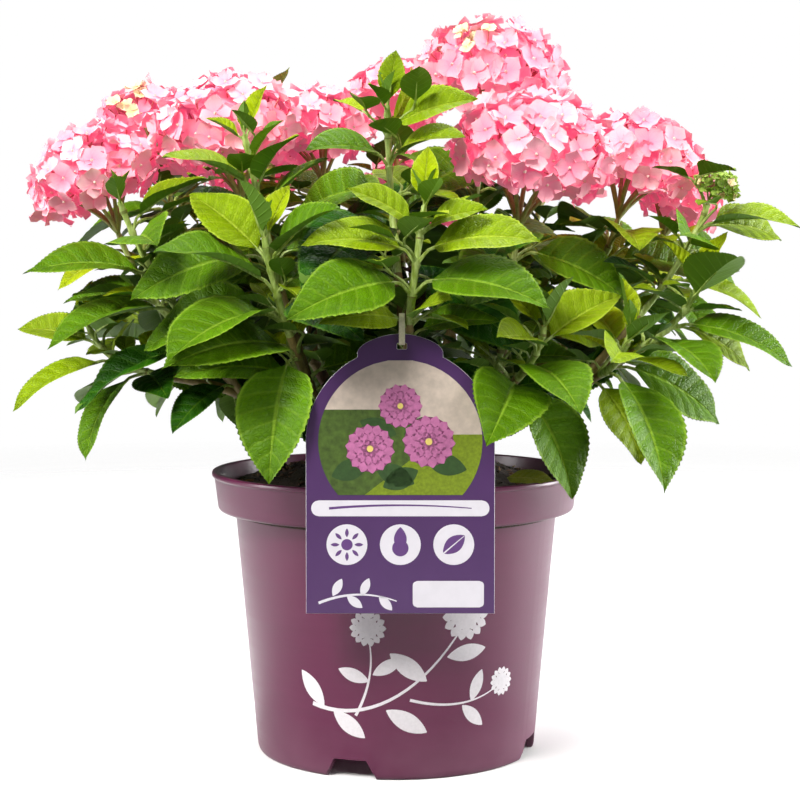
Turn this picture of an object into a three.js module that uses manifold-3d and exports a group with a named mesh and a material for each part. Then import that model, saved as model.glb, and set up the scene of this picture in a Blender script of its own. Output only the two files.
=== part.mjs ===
// A pink mophead hydrangea in its nursery pot, as a scene graph of closed solids.
// Millimetres, +Z up. The origin is on the pot's axis, on the level surface that it stands on.
// +X is the plant's right and -Y its front, where the hanging label is.

import * as THREE from "three";
import { mergeVertices } from "three/addons/utils/BufferGeometryUtils.js";
import Module from "manifold-3d";

const wasm = await Module();
wasm.setup();

// ---------------------------------------------------------------- driving dimensions

const POT = {
  rimRadius: 115, // outside of the lip: a 23 cm, 5 litre container
  height: 175,
  lipHeight: 3,
  collarTopRadius: 113.5,
  collarFootRadius: 111,
  collarFoot: 151, // height of the collar's lower edge
  bodyTopRadius: 100.5,
  footRadius: 87,
  cornerRadius: 4, // rounding of the lower edge
  wall: 2,
  foot: 2, // extra thickness of the wall where it stands on the ground
  lip: 1.5, // extra thickness of the wall at the rim
  floor: 12, // height of the floor's underside above the ground
  sides: 24,
};
// Notches in the foot. first: azimuth of the first. inner and depth: where each cut starts and ends.
const NOTCH = { count: 4, first: -108, height: 11.6, widthTop: 20, widthFoot: 32, inner: 60, depth: 40 };
const DRAIN = { count: 4, radius: 6, ring: 62, first: 22.5, sides: 6 };
const COMPOST = { edge: 164, shoulderRadius: 78, shoulder: 172, topRadius: 48, top: 180, clear: 0.3 };
// The dead stub of an old cane. seat: how far its slanted foot's middle is over the compost.
const STUB = {
  foot: [-72, -6],
  tip: [-80, -10, 203],
  bend: [2, 1, 0],
  radius: 3.2,
  tipRadius: 2.2,
  seat: 1.2,
};
const SEAT = 0.3; // gap left where two separate solids touch

// The label: a card with a round-topped tab, hung from a leaf stalk by a strap through its slot.
const LABEL = {
  width: 106,
  squareHeight: 97, // straight part below the round part's centre
  tabWidth: 48,
  tabHeight: 60.5, // top of the tab above the round part's centre
  tabShoulder: 50,
  thickness: 0.8,
  slotDrop: 7, // slot below the tab's top
  slotWidth: 5.5,
  slotHeight: 3.4,
  tuck: 0.9, // how far the card's middle is to the left of its strap
  lean: 1.2, // degrees that the card's foot stands forward of hanging plumb
};
// along: distance out along the leaf stalk. drop: from the stalk down to the bar over the card's slot.
const STRAP = { width: 3.4, thickness: 0.7, along: 7.2, drop: 8.4, hookRadius: 5 };

// The canes: each stands on the compost at `foot`, ends at `fork`, and bears one mass of foliage whose
// shoots end at `tip`. turn: azimuth of a shoot's top pair of leaves. leaf: length of a grown blade.
// head: radius of the bloom that sits on the shoot, at `tip`. bud: the same, for a head still in bud.
// bow: how far the shoot's line bends out of straight. aims: tips of chosen leaves, as [pair, way, tip].
const CANES = [
  {
    name: "front_centre",
    foot: [2, -34],
    fork: [6, -74, 216],
    shoots: [
      {
        tip: [16, -120, 335],
        bow: [-5, -25, 0],
        turn: 90,
        pairs: 5,
        leaf: 78,
        hanger: 4,
        aims: [
          [1, 0, [-28, -132, 344]],
          [1, 1, [50, -136, 346]],
          [2, 0, [-46, -150, 322]],
          [2, 1, [80, -150, 315]],
          [3, 0, [-58, -160, 272]],
          [3, 1, [84, -160, 280]],
          [4, 0, [36, -142, 288]],
          [4, 1, [-42, -146, 270]],
        ],
      },
      {
        tip: [-5, -60, 396],
        turn: 60,
        pairs: 6,
        leaf: 74,
        aims: [
          [1, 0, [-16, -52, 432]],
          [2, 0, [-52, -90, 368]],
          [2, 1, [42, -80, 394]],
        ],
      },
    ],
  },
  {
    name: "front_left",
    foot: [-24, -26],
    fork: [-44, -64, 216],
    shoots: [
      {
        tip: [-74, -112, 318],
        turn: 60,
        pairs: 5,
        leaf: 76,
        aims: [
          [2, 0, [-134, -136, 310]],
          [2, 1, [-22, -150, 312]],
          [3, 0, [-126, -160, 250]],
          [4, 0, [-138, -136, 232]],
          [4, 1, [-70, -128, 180]],
        ],
      },
      {
        tip: [-88, -72, 378],
        turn: 20,
        pairs: 6,
        leaf: 70,
        aims: [
          [1, 0, [-70, -80, 404]],
          [2, 0, [-134, -92, 364]],
          [2, 1, [-54, -96, 376]],
          [3, 1, [-32, -100, 350]],
        ],
      },
      { tip: [-62, -84, 262], turn: 20, pairs: 3, leaf: 66 },
    ],
  },
  {
    name: "left",
    foot: [-34, -4],
    fork: [-84, -38, 218],
    shoots: [
      {
        tip: [-164, -52, 340],
        turn: 100,
        pairs: 6,
        leaf: 70,
        aims: [
          [3, 0, [-220, -64, 297]],
          [3, 1, [-134, -112, 336]],
          [4, 0, [-196, -96, 264]],
          [5, 0, [-188, -84, 226]],
        ],
      },
      {
        tip: [-190, -16, 266],
        turn: 80,
        pairs: 4,
        leaf: 66,
        aims: [
          [1, 0, [-237, 0, 262]],
          [2, 0, [-232, -40, 214]],
          [3, 0, [-180, -70, 192]],
        ],
      },
      { tip: [-184, -16, 355], turn: 100, pairs: 4, leaf: 60, head: 41 },
    ],
  },
  {
    name: "centre_left",
    foot: [-18, 6],
    fork: [-48, 6, 236],
    shoots: [
      { tip: [-104, -10, 382], turn: 40, pairs: 4, leaf: 76, head: 47 },
      { tip: [-50, 40, 386], turn: 110, pairs: 4, leaf: 74, head: 37 },
    ],
  },
  {
    name: "front_right",
    foot: [22, -22],
    fork: [52, -58, 214],
    shoots: [
      { tip: [80, -60, 365], turn: 70, pairs: 5, leaf: 82, head: 49 },
      {
        tip: [84, -112, 268],
        turn: 150,
        pairs: 4,
        leaf: 78,
        aims: [
          [2, 0, [98, -166, 222]],
          [3, 0, [104, -92, 168]],
        ],
      },
      { tip: [62, -78, 258], turn: 100, pairs: 3, leaf: 66 },
    ],
  },
  {
    name: "right",
    foot: [38, -6],
    fork: [100, -40, 222],
    shoots: [
      {
        tip: [180, -60, 292],
        turn: 20,
        pairs: 5,
        leaf: 72,
        aims: [
          [2, 0, [235, -62, 243]],
          [3, 0, [196, -112, 246]],
        ],
      },
      {
        tip: [134, -96, 262],
        turn: 160,
        pairs: 4,
        leaf: 80,
        aims: [
          [2, 0, [153, -122, 174]],
          [3, 0, [142, -84, 186]],
        ],
      },
      {
        tip: [191, -48, 349],
        turn: 60,
        pairs: 4,
        leaf: 60,
        head: 13,
        bud: true,
        aims: [[1, 0, [237, -20, 316]]],
      },
    ],
  },
  {
    name: "right_rear",
    foot: [36, 16],
    fork: [88, 26, 232],
    shoots: [
      { tip: [148, -10, 364], turn: 30, pairs: 4, leaf: 76, head: 40 },
      { tip: [181, 38, 344], turn: 125, pairs: 4, leaf: 70, head: 30 },
      { tip: [154, 60, 262], turn: 10, pairs: 4, leaf: 66 },
    ],
  },
  {
    name: "centre_right",
    foot: [12, 12],
    fork: [32, 22, 248],
    shoots: [
      {
        tip: [61, 34, 420],
        turn: 20,
        pairs: 5,
        leaf: 74,
        head: 49,
        aims: [
          [1, 1, [18, -34, 348]],
          [2, 1, [34, -40, 322]],
        ],
      },
    ],
  },
  {
    name: "rear",
    foot: [6, 38],
    fork: [8, 78, 226],
    shoots: [
      { tip: [0, 104, 412], turn: 45, pairs: 5, leaf: 72, head: 34 },
      { tip: [12, 114, 348], turn: 0, pairs: 4, leaf: 70, head: 39 },
      { tip: [-28, 104, 262], turn: 70, pairs: 4, leaf: 64 },
    ],
  },
  {
    name: "rear_left",
    foot: [-26, 28],
    fork: [-72, 58, 226],
    shoots: [
      { tip: [-164, 50, 394], turn: 0, pairs: 4, leaf: 70, head: 32 },
      { tip: [-92, 112, 372], turn: 60, pairs: 4, leaf: 72, head: 41 },
      { tip: [-166, 76, 268], turn: 40, pairs: 4, leaf: 66 },
      { tip: [-86, 68, 404], turn: 75, pairs: 4, leaf: 58, aims: [[1, 0, [-72, 62, 438]]] },
    ],
  },
  {
    name: "rear_right",
    foot: [28, 32],
    fork: [74, 80, 226],
    shoots: [
      { tip: [104, 100, 376], turn: 80, pairs: 4, leaf: 72, head: 43 },
      { tip: [90, 104, 262], turn: 30, pairs: 4, leaf: 62 },
      { tip: [156, 90, 294], turn: 110, pairs: 4, leaf: 64 },
    ],
  },
];

const CANE = { radius: 4.8, forkRadius: 3.7, sides: 7, steps: 5, endStretch: 2.5 };
const NECK = { length: 8, radius: 3.6, knuckle: 4.4, sides: 5 }; // where a mass meets its cane
const SHOOT = { radius: 2.8, tipRadius: 1.4, sides: 3, steps: 5, rise: 0.4 };
const LEAF = {
  widthShare: 0.34, // greatest half width over length
  rows: [0.28, 0.68], // places of the rows of a blade, over its length
  youngRows: [0.42],
  thicknessShare: 0.02, // at the midrib, over length
  stalkShare: 0.19, // leaf stalk over blade
  stalkRadius: 1.15,
  stalkSunk: 0.2, // share of the blade's length that the stalk runs on under it
  firstPair: 5, // distance of the top pair below the shoot's tip
  firstGap: 12.5,
  gapGrowth: 4, // each gap between pairs is this much longer than the one above it
  outward: 0.45, // how far leaves lean to the side that their shoot leans to
  facing: 46, // degrees, at most, that a blade turns about its own length to face outward
  facingFrom: 110, // how far behind the pot's axis the upright line is that blades face away from
  facingReach: 60, // distance from that line at which they turn as far as that
  room: 1.1, // half thickness, and spare all round, of the room that a blade keeps
};
// By age, from the youngest pair down: share of grown size, lift of the blade, how far it droops along its
// length, and how far its halves fold up, in degrees.
const AGES = [
  { size: 0.42, lift: 66, droop: 10, fold: 46 },
  { size: 0.74, lift: 44, droop: 28, fold: 34 },
  { size: 0.94, lift: 16, droop: 38, fold: 30 },
  { size: 1.0, lift: -2, droop: 42, fold: 28 },
  { size: 1.04, lift: -16, droop: 40, fold: 26 },
  { size: 1.0, lift: -28, droop: 34, fold: 24 },
];
const FLOWERING_AGE = 1; // a shoot that bears a head has no youngest pairs
// Tries made for each leaf, in order, until it clears everything: turn and lift in degrees, and size.
const TRIES = [
  [0, 0, 1],
  [14, 8, 1],
  [-14, -8, 1],
  [10, 20, 0.95],
  [-10, -20, 0.95],
  [28, 6, 0.9],
  [-28, -6, 0.9],
  [0, 32, 0.8],
  [0, -30, 0.8],
  [18, 12, 0.68],
  [-18, 0, 0.6],
];
const HEAD = {
  flatness: 0.8, // height over width, for the half over the middle
  underside: 0.62, // the lower half's height over the upper half's
  floretLow: 0.93, // a floret's stand, over the head's radius: from here to 1
  valley: 0.78, // and the dips between florets, from here
  valleyHigh: 0.86, // to here
  stalk: 0.86, // foot of the head's stalk, below its middle, over its radius
  stalkRadius: 1.5,
  branchRadius: 1.3,
  tilt: 0.0022, // how far a head faces outward, for each mm that it is off the pot's axis
  branches: 3,
};
const SEED = 20260;

// ---------------------------------------------------------------- small helpers

const vec = (x, y, z) => new THREE.Vector3(x, y, z);
const UP = vec(0, 0, 1);
const rad = THREE.MathUtils.degToRad;
const mix = THREE.MathUtils.lerp;

// A small seeded generator of numbers from 0 to 1, the same on every run.
function seeded(seed) {
  let state = seed >>> 0;
  return () => {
    state = (Math.imul(state, 1664525) + 1013904223) >>> 0;
    return state / 4294967296;
  };
}

// A closed geometry as a manifold-3d solid.
function solidOf(geometry) {
  const bare = new THREE.BufferGeometry();
  const from = geometry.index ? geometry.toNonIndexed() : geometry;
  bare.setAttribute("position", from.getAttribute("position"));
  const merged = mergeVertices(bare, 1e-4);
  return new wasm.Manifold(
    new wasm.Mesh({
      numProp: 3,
      vertProperties: new Float32Array(merged.attributes.position.array),
      triVerts: new Uint32Array(merged.index.array),
    }),
  );
}

// A manifold-3d solid as a geometry with flat faces.
function geometryOf(solid) {
  const { vertProperties, numProp, triVerts, numVert } = solid.getMesh();
  const position = new Float32Array(numVert * 3);
  for (let i = 0; i < numVert; i++) {
    position.set(vertProperties.subarray(i * numProp, i * numProp + 3), i * 3);
  }
  const geometry = new THREE.BufferGeometry();
  geometry.setAttribute("position", new THREE.BufferAttribute(position, 3));
  geometry.setIndex(new THREE.BufferAttribute(new Uint32Array(triVerts), 1));
  return geometry;
}

// All solids in one, as its largest connected body, so that a loose scrap is dropped.
function fuse(solids) {
  const bodies = wasm.Manifold.union(solids).asOriginal().simplify(0.1).decompose();
  return bodies.reduce((best, body) => (body.volume() > best.volume() ? body : best));
}

// A geometry from points and the triangles that index them.
function faceted(points, triangles) {
  const geometry = new THREE.BufferGeometry().setFromPoints(points);
  geometry.setIndex(triangles.flat());
  return geometry;
}

// A point and direction on a cubic Bezier curve.
function bezier([a, b, c, d], t) {
  const curve = new THREE.CubicBezierCurve3(a, b, c, d);
  return { point: curve.getPoint(t), tangent: curve.getTangent(t) };
}

// ---------------------------------------------------------------- limbs, leaves and blooms

// A closed limb with flat ends: rings of `sides` points round each centre, each of its own radius.
function limb(centres, radii, sides) {
  const points = [];
  const triangles = [];
  let side = null;
  centres.forEach((centre, i) => {
    const before = centres[Math.max(i - 1, 0)];
    const after = centres[Math.min(i + 1, centres.length - 1)];
    const along = after.clone().sub(before).normalize();
    const start = side ?? (Math.abs(along.x) < 0.9 ? vec(1, 0, 0) : vec(0, 1, 0));
    side = start.clone().addScaledVector(along, -start.dot(along)).normalize();
    const across = along.clone().cross(side);
    for (let k = 0; k < sides; k++) {
      const turn = (2 * Math.PI * k) / sides;
      points.push(
        centre
          .clone()
          .addScaledVector(side, radii[i] * Math.cos(turn))
          .addScaledVector(across, radii[i] * Math.sin(turn)),
      );
    }
    for (let k = 0; i > 0 && k < sides; k++) {
      const low = (i - 1) * sides;
      const next = (k + 1) % sides;
      triangles.push([low + k, low + next, low + sides + next]);
      triangles.push([low + k, low + sides + next, low + sides + k]);
    }
  });
  const last = (centres.length - 1) * sides;
  for (let k = 1; k < sides - 1; k++) {
    triangles.push([0, k + 1, k]);
    triangles.push([last, last + k, last + k + 1]);
  }
  return faceted(points, triangles);
}

// Half width of a blade at share s of its length, over its greatest: ovate, with a drawn-out tip.
function bladeOutline(s) {
  const peak = 0.2946;
  return (Math.pow(s, 0.72) * Math.pow(1 - s, 1.1)) / peak;
}

// The midrib of a blade at share s: an arc that leaves along `ahead` and bends down by `droop` degrees.
function midrib(leaf, s) {
  const bend = rad(leaf.droop);
  const point = leaf.base
    .clone()
    .addScaledVector(leaf.ahead, (leaf.length * Math.sin(bend * s)) / bend)
    .addScaledVector(leaf.upper, (-leaf.length * (1 - Math.cos(bend * s))) / bend);
  const normal = leaf.upper
    .clone()
    .multiplyScalar(Math.cos(bend * s))
    .addScaledVector(leaf.ahead, Math.sin(bend * s));
  return { point, normal };
}

// A leaf as one closed form: a three-sided stalk that opens into a blade folded along its midrib, thickest
// there and sharp at its margin. `shares` are the rows of the blade between its root and its tip.
function leafSolid(leaf, shares) {
  const across = leaf.ahead.clone().cross(leaf.upper);
  const fold = rad(leaf.fold);
  const thick = (leaf.length * LEAF.thicknessShare) / 2;
  const points = [];
  const stalk = (centre, radius) => {
    points.push(centre.clone().addScaledVector(across, -radius));
    points.push(centre.clone().addScaledVector(across, radius));
    points.push(centre.clone().addScaledVector(leaf.upper, -1.4 * radius));
  };
  stalk(leaf.node, LEAF.stalkRadius * 1.1);
  stalk(leaf.base, LEAF.stalkRadius);
  const triangles = [[0, 2, 1]];
  for (const [a, b] of [[0, 1], [1, 2], [2, 0]]) {
    triangles.push([a, b, b + 3], [a, b + 3, a + 3]);
  }
  for (const s of shares) {
    const { point, normal } = midrib(leaf, s);
    const half = leaf.length * LEAF.widthShare * bladeOutline(s);
    for (const [side, face] of [[-1, 0], [0, 1], [1, 0], [0, -1]]) {
      points.push(
        point
          .clone()
          .addScaledVector(across, side * half * Math.cos(fold))
          .addScaledVector(normal, Math.abs(side) * half * Math.sin(fold) + face * thick),
      );
    }
  }
  triangles.push([3, 4, 7], [3, 7, 6], [4, 8, 7], [5, 3, 6], [5, 6, 9], [5, 9, 8], [5, 8, 4]);
  for (let row = 1; row < shares.length; row++) {
    const [l, t, r, f] = [2, 3, 4, 5].map((k) => k + 4 * row);
    const [ll, tt, rr, ff] = [l, t, r, f].map((k) => k + 4);
    triangles.push([l, t, tt], [l, tt, ll], [t, r, rr], [t, rr, tt]);
    triangles.push([l, ff, f], [l, ll, ff], [f, rr, r], [f, ff, rr]);
  }
  const [l, t, r, f] = [2, 3, 4, 5].map((k) => k + 4 * shares.length);
  const tip = points.push(midrib(leaf, 1).point) - 1;
  triangles.push([l, t, tip], [t, r, tip], [l, tip, f], [f, tip, r]);
  return solidOf(faceted(points, triangles));
}

// The room that a blade keeps: a folded slab of even thickness, spare all round.
function bladeRoom(leaf) {
  const across = leaf.ahead.clone().cross(leaf.upper);
  const fold = rad(leaf.fold);
  const spare = LEAF.room;
  const points = [];
  const triangles = [];
  const rows = [0, ...LEAF.rows, 1];
  rows.forEach((s, i) => {
    const { point, normal } = midrib(leaf, s);
    const half = leaf.length * LEAF.widthShare * bladeOutline(s) + spare;
    for (const [side, face] of [[-1, 1], [0, 1], [1, 1], [1, -1], [0, -1], [-1, -1]]) {
      points.push(
        point
          .clone()
          .addScaledVector(across, side * half * Math.cos(fold))
          .addScaledVector(normal, Math.abs(side) * half * Math.sin(fold) + face * spare),
      );
    }
    for (let k = 0; i > 0 && k < 6; k++) {
      const low = (i - 1) * 6;
      const next = (k + 1) % 6;
      triangles.push([low + k, low + 6 + next, low + next], [low + k, low + 6 + k, low + 6 + next]);
    }
  });
  const last = (rows.length - 1) * 6;
  for (const [a, b, c] of [[0, 1, 5], [1, 4, 5], [1, 2, 4], [2, 3, 4]]) {
    triangles.push([a, b, c], [last + a, last + c, last + b]);
  }
  return faceted(points, triangles);
}

// The three-sided stalk of a leaf: from inside its shoot to well under the blade.
function leafStalk(leaf, radius) {
  const under = midrib(leaf, LEAF.stalkSunk).point;
  return limb([leaf.node, leaf.base, under], [radius * 1.15, radius, radius * 0.55], 3);
}

// The direction that a head on a shoot faces: up, and a little outward from the pot's axis.
function headAxis(tip) {
  return vec(tip.x * HEAD.tilt, tip.y * HEAD.tilt, 1).normalize();
}

// A bloom: a fan of branches from the shoot's end, and a dome whose bumps are its florets. The dome is a
// sphere of small triangles; those of its corners that stand for florets are out, and all others are in.
function bloom(shoot, random) {
  const centre = vec(...shoot.tip);
  const size = shoot.head;
  const tilt = new THREE.Quaternion().setFromUnitVectors(UP, headAxis(centre));
  const place = (x, y, z) => vec(x, y, z).multiplyScalar(size).applyQuaternion(tilt).add(centre);
  const spin = new THREE.Quaternion().setFromEuler(new THREE.Euler(3 * random(), 3 * random(), 0));
  const fine = new THREE.IcosahedronGeometry(1, 2);
  fine.deleteAttribute("normal");
  fine.deleteAttribute("uv");
  const dome = mergeVertices(fine, 1e-4);
  const position = dome.getAttribute("position");
  const seats = floretSeats();
  for (let i = 0; i < position.count; i++) {
    const out = vec().fromBufferAttribute(position, i).normalize();
    const stands = seats.some((seat) => seat.dot(out) > 0.999);
    const reach = stands ? mix(HEAD.floretLow, 1, random()) : mix(HEAD.valley, HEAD.valleyHigh, random());
    const { x, y, z } = out.applyQuaternion(spin).multiplyScalar(reach);
    const under = z < 0 ? HEAD.underside : 1;
    position.setXYZ(i, ...place(x, y, z * HEAD.flatness * under).toArray());
  }
  const crotch = place(0, 0, -HEAD.stalk);
  const pieces = [solidOf(dome), solidOf(limb([crotch, centre], [HEAD.stalkRadius, HEAD.stalkRadius], 3))];
  for (let k = 0; k < HEAD.branches && !shoot.bud; k++) {
    const turn = (2 * Math.PI * (k + random())) / HEAD.branches;
    const end = place(0.5 * Math.cos(turn), 0.5 * Math.sin(turn), -0.2);
    pieces.push(solidOf(limb([crotch, end], [HEAD.branchRadius, 1], 3)));
  }
  return pieces;
}

// Directions of the florets on a dome: the corners and the middles of an icosahedron's faces.
function floretSeats() {
  const coarse = new THREE.IcosahedronGeometry(1, 0).getAttribute("position");
  const seats = [];
  for (let i = 0; i < coarse.count; i += 3) {
    const corners = [0, 1, 2].map((k) => vec().fromBufferAttribute(coarse, i + k));
    seats.push(...corners.map((corner) => corner.clone().normalize()));
    seats.push(corners[0].clone().add(corners[1]).add(corners[2]).normalize());
  }
  return seats;
}

// The room that a bloom keeps: a plain low-sided form just outside its florets.
function bloomRoom(shoot) {
  const centre = vec(...shoot.tip);
  const tilt = new THREE.Quaternion().setFromUnitVectors(UP, headAxis(centre));
  const size = shoot.head * 1.06 + 1;
  const form = new THREE.SphereGeometry(1, 12, 8)
    .rotateX(Math.PI / 2)
    .scale(size, size, size * HEAD.flatness)
    .applyQuaternion(tilt)
    .translate(centre.x, centre.y, centre.z);
  return solidOf(form);
}

// ---------------------------------------------------------------- the growth rule

// Solids that leaves must clear, each with its box and the mass that it belongs to.
const taken = [];
function take(solid, mass) {
  taken.push({ solid, box: solid.boundingBox(), mass });
}
function boxesMeet(a, b) {
  return [0, 1, 2].every((i) => a.min[i] <= b.max[i] && b.min[i] <= a.max[i]);
}
// Whether a leaf's room meets something taken. Its stalk may touch its own mass, as it is fused to it.
function meetsTaken(stalkRoom, bladeRoom, mass) {
  const meets = (room, other) =>
    boxesMeet(room.boundingBox(), other.box) && !room.intersect(other.solid).isEmpty();
  return taken.some(
    (other) => meets(bladeRoom, other) || (other.mass !== mass && meets(stalkRoom, other)),
  );
}

// A cane's line, upright out of the compost and then out to its fork.
function caneLine(cane) {
  const foot = vec(...cane.foot, COMPOST.top + SEAT);
  const fork = vec(...cane.fork);
  const rise = fork.distanceTo(foot);
  return [foot, foot.clone().addScaledVector(UP, rise * 0.3), fork.clone().lerp(foot, 0.35), fork];
}

// Where a mass begins: just clear of its cane's end, and the knuckle that its shoots leave from.
function neckOf(cane) {
  const { point, tangent } = bezier(caneLine(cane), 1);
  const foot = point.clone().addScaledVector(tangent, SEAT);
  return { foot, knuckle: foot.clone().addScaledVector(tangent, NECK.length), tangent };
}

// A shoot's line, from the knuckle to its tip, or to the foot of its bloom's stalk.
function shootLine(cane, shoot) {
  const { knuckle, tangent } = neckOf(cane);
  const goal = vec(...shoot.tip);
  if (shoot.head) goal.addScaledVector(headAxis(goal), -HEAD.stalk * shoot.head);
  const span = goal.distanceTo(knuckle) * SHOOT.rise;
  const leave = goal.clone().sub(knuckle).normalize().addScaledVector(tangent, 0.3).normalize();
  const bow = vec(...(shoot.bow ?? [0, 0, 0]));
  return [
    knuckle,
    knuckle.clone().addScaledVector(leave, span).add(bow),
    goal.clone().addScaledVector(headAxis(goal), -span).add(bow),
    goal,
  ];
}

// Places of the leaf pairs on a shoot: youngest first, each gap a little longer than the one above.
function pairPlaces(line, shoot) {
  const length = new THREE.CubicBezierCurve3(...line).getLength();
  const places = [];
  let down = LEAF.firstPair;
  for (let k = 0; k < shoot.pairs && down < length - 8; k++) {
    places.push(1 - down / length);
    down += LEAF.firstGap + LEAF.gapGrowth * k;
  }
  return places;
}

// How far a blade turns about its own length to face away from an upright line behind the pot's axis: most
// where it grows sideways, and less near that line.
function facingRoll(node, azimuth) {
  const y = node.y - LEAF.facingFrom;
  const reach = Math.max(Math.hypot(node.x, y), 1);
  const aside = (y * Math.cos(azimuth) - node.x * Math.sin(azimuth)) / reach;
  return -rad(LEAF.facing) * aside * Math.min(reach / LEAF.facingReach, 1);
}

// A leaf from the heading of its blade. roll: turn of the blade about its own length.
function leafFrom(node, tangent, azimuth, lift, roll, length, look) {
  const heading = vec(Math.cos(azimuth), Math.sin(azimuth), 0);
  const ahead = heading.clone().multiplyScalar(Math.cos(lift)).addScaledVector(UP, Math.sin(lift));
  const upper = heading.clone().multiplyScalar(-Math.sin(lift)).addScaledVector(UP, Math.cos(lift));
  upper.applyAxisAngle(ahead, roll);
  const out = ahead.clone().multiplyScalar(0.8).addScaledVector(tangent, 0.5).normalize();
  const base = node.clone().addScaledVector(out, length * LEAF.stalkShare + SHOOT.radius);
  const young = look === AGES[0];
  return { node, base, ahead, upper, length, young, droop: look.droop, fold: look.fold };
}

// Azimuth, lift and length that bring the tip of a leaf from this node to a chosen place.
function aimedAt(goal, node, tangent, look) {
  const polar = (point) => {
    const away = point.clone().sub(node);
    const level = Math.hypot(away.x, away.y);
    return [Math.atan2(away.y, away.x), Math.atan2(away.z, level), away.length()];
  };
  const [azimuth, rise, reach] = polar(goal);
  const found = { azimuth, lift: rise, length: reach * 0.8 };
  for (let step = 0; step < 5; step++) {
    const roll = facingRoll(node, found.azimuth);
    const leaf = leafFrom(node, tangent, found.azimuth, found.lift, roll, found.length, look);
    const [turned, lifted, far] = polar(midrib(leaf, 1).point);
    const over = azimuth - turned;
    found.azimuth += Math.atan2(Math.sin(over), Math.cos(over));
    found.lift += rise - lifted;
    found.length *= reach / far;
  }
  return found;
}

// The wish of each leaf of a shoot: where its node is, how it is headed and how long it is.
function leafWishes(cane, shoot, random) {
  const line = shootLine(cane, shoot);
  const wishes = [];
  pairPlaces(line, shoot).forEach((place, pair) => {
    const { point, tangent } = bezier(line, place);
    const look = AGES[Math.min(pair + (shoot.head ? FLOWERING_AGE : 0), AGES.length - 1)];
    for (const way of [0, 1]) {
      const chance = [random(), random(), random(), random()];
      const turn = rad(shoot.turn + 90 * pair + 180 * way + 22 * (chance[0] - 0.5));
      const heading = vec(Math.cos(turn), Math.sin(turn), 0).addScaledVector(tangent, LEAF.outward);
      const wish = {
        node: point,
        tangent,
        look,
        azimuth: Math.atan2(heading.y, heading.x),
        lift: rad(look.lift + 14 * (chance[1] - 0.5)),
        length: shoot.leaf * look.size * (0.92 + 0.16 * chance[3]),
        hangs: shoot.hanger === pair && way === 1,
      };
      const aim = (shoot.aims ?? []).find((one) => one[0] === pair && one[1] === way);
      if (aim) Object.assign(wish, aimedAt(vec(...aim[2]), point, tangent, look));
      wish.roll = facingRoll(point, wish.azimuth) + rad(16 * (chance[2] - 0.5));
      wishes.push(wish);
    }
  });
  return wishes;
}

// The leaves of one shoot, each tried in turn until it clears what is there, or else left out.
function growLeaves(cane, wishes) {
  const leaves = [];
  for (const wish of wishes) {
    for (const [turn, lift, share] of wish.hangs ? [[0, 0, 1]] : TRIES) {
      const leaf = leafFrom(
        wish.node,
        wish.tangent,
        wish.azimuth + rad(turn),
        wish.lift + rad(lift),
        wish.roll,
        wish.length * share,
        wish.look,
      );
      const room = solidOf(bladeRoom(leaf));
      const stalkRoom = solidOf(leafStalk(leaf, LEAF.stalkRadius + 0.5));
      if (!wish.hangs && meetsTaken(stalkRoom, room, cane.name)) continue;
      take(room, cane.name);
      take(stalkRoom, cane.name);
      leaves.push(leaf);
      break;
    }
  }
  return leaves;
}

// A shoot's stem, thicker by `more` where it stands for the room that it keeps.
function shootStem(line, more = 0) {
  const centres = [];
  const radii = [];
  for (let i = 0; i <= SHOOT.steps; i++) {
    const t = i / SHOOT.steps;
    centres.push(bezier(line, t).point);
    radii.push(mix(SHOOT.radius, SHOOT.tipRadius, t) + more);
  }
  return solidOf(limb(centres, radii, SHOOT.sides));
}

// The neck of a mass, with the knuckle that its shoots leave from.
function neckSolid(cane) {
  const { foot, knuckle } = neckOf(cane);
  const { radius, sides } = NECK;
  const ball = new THREE.SphereGeometry(NECK.knuckle, 7, 5).translate(...knuckle.toArray());
  return [solidOf(limb([foot, knuckle], [radius, radius], sides)), solidOf(ball)];
}

// ---------------------------------------------------------------- pot, compost, stub and label

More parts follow.
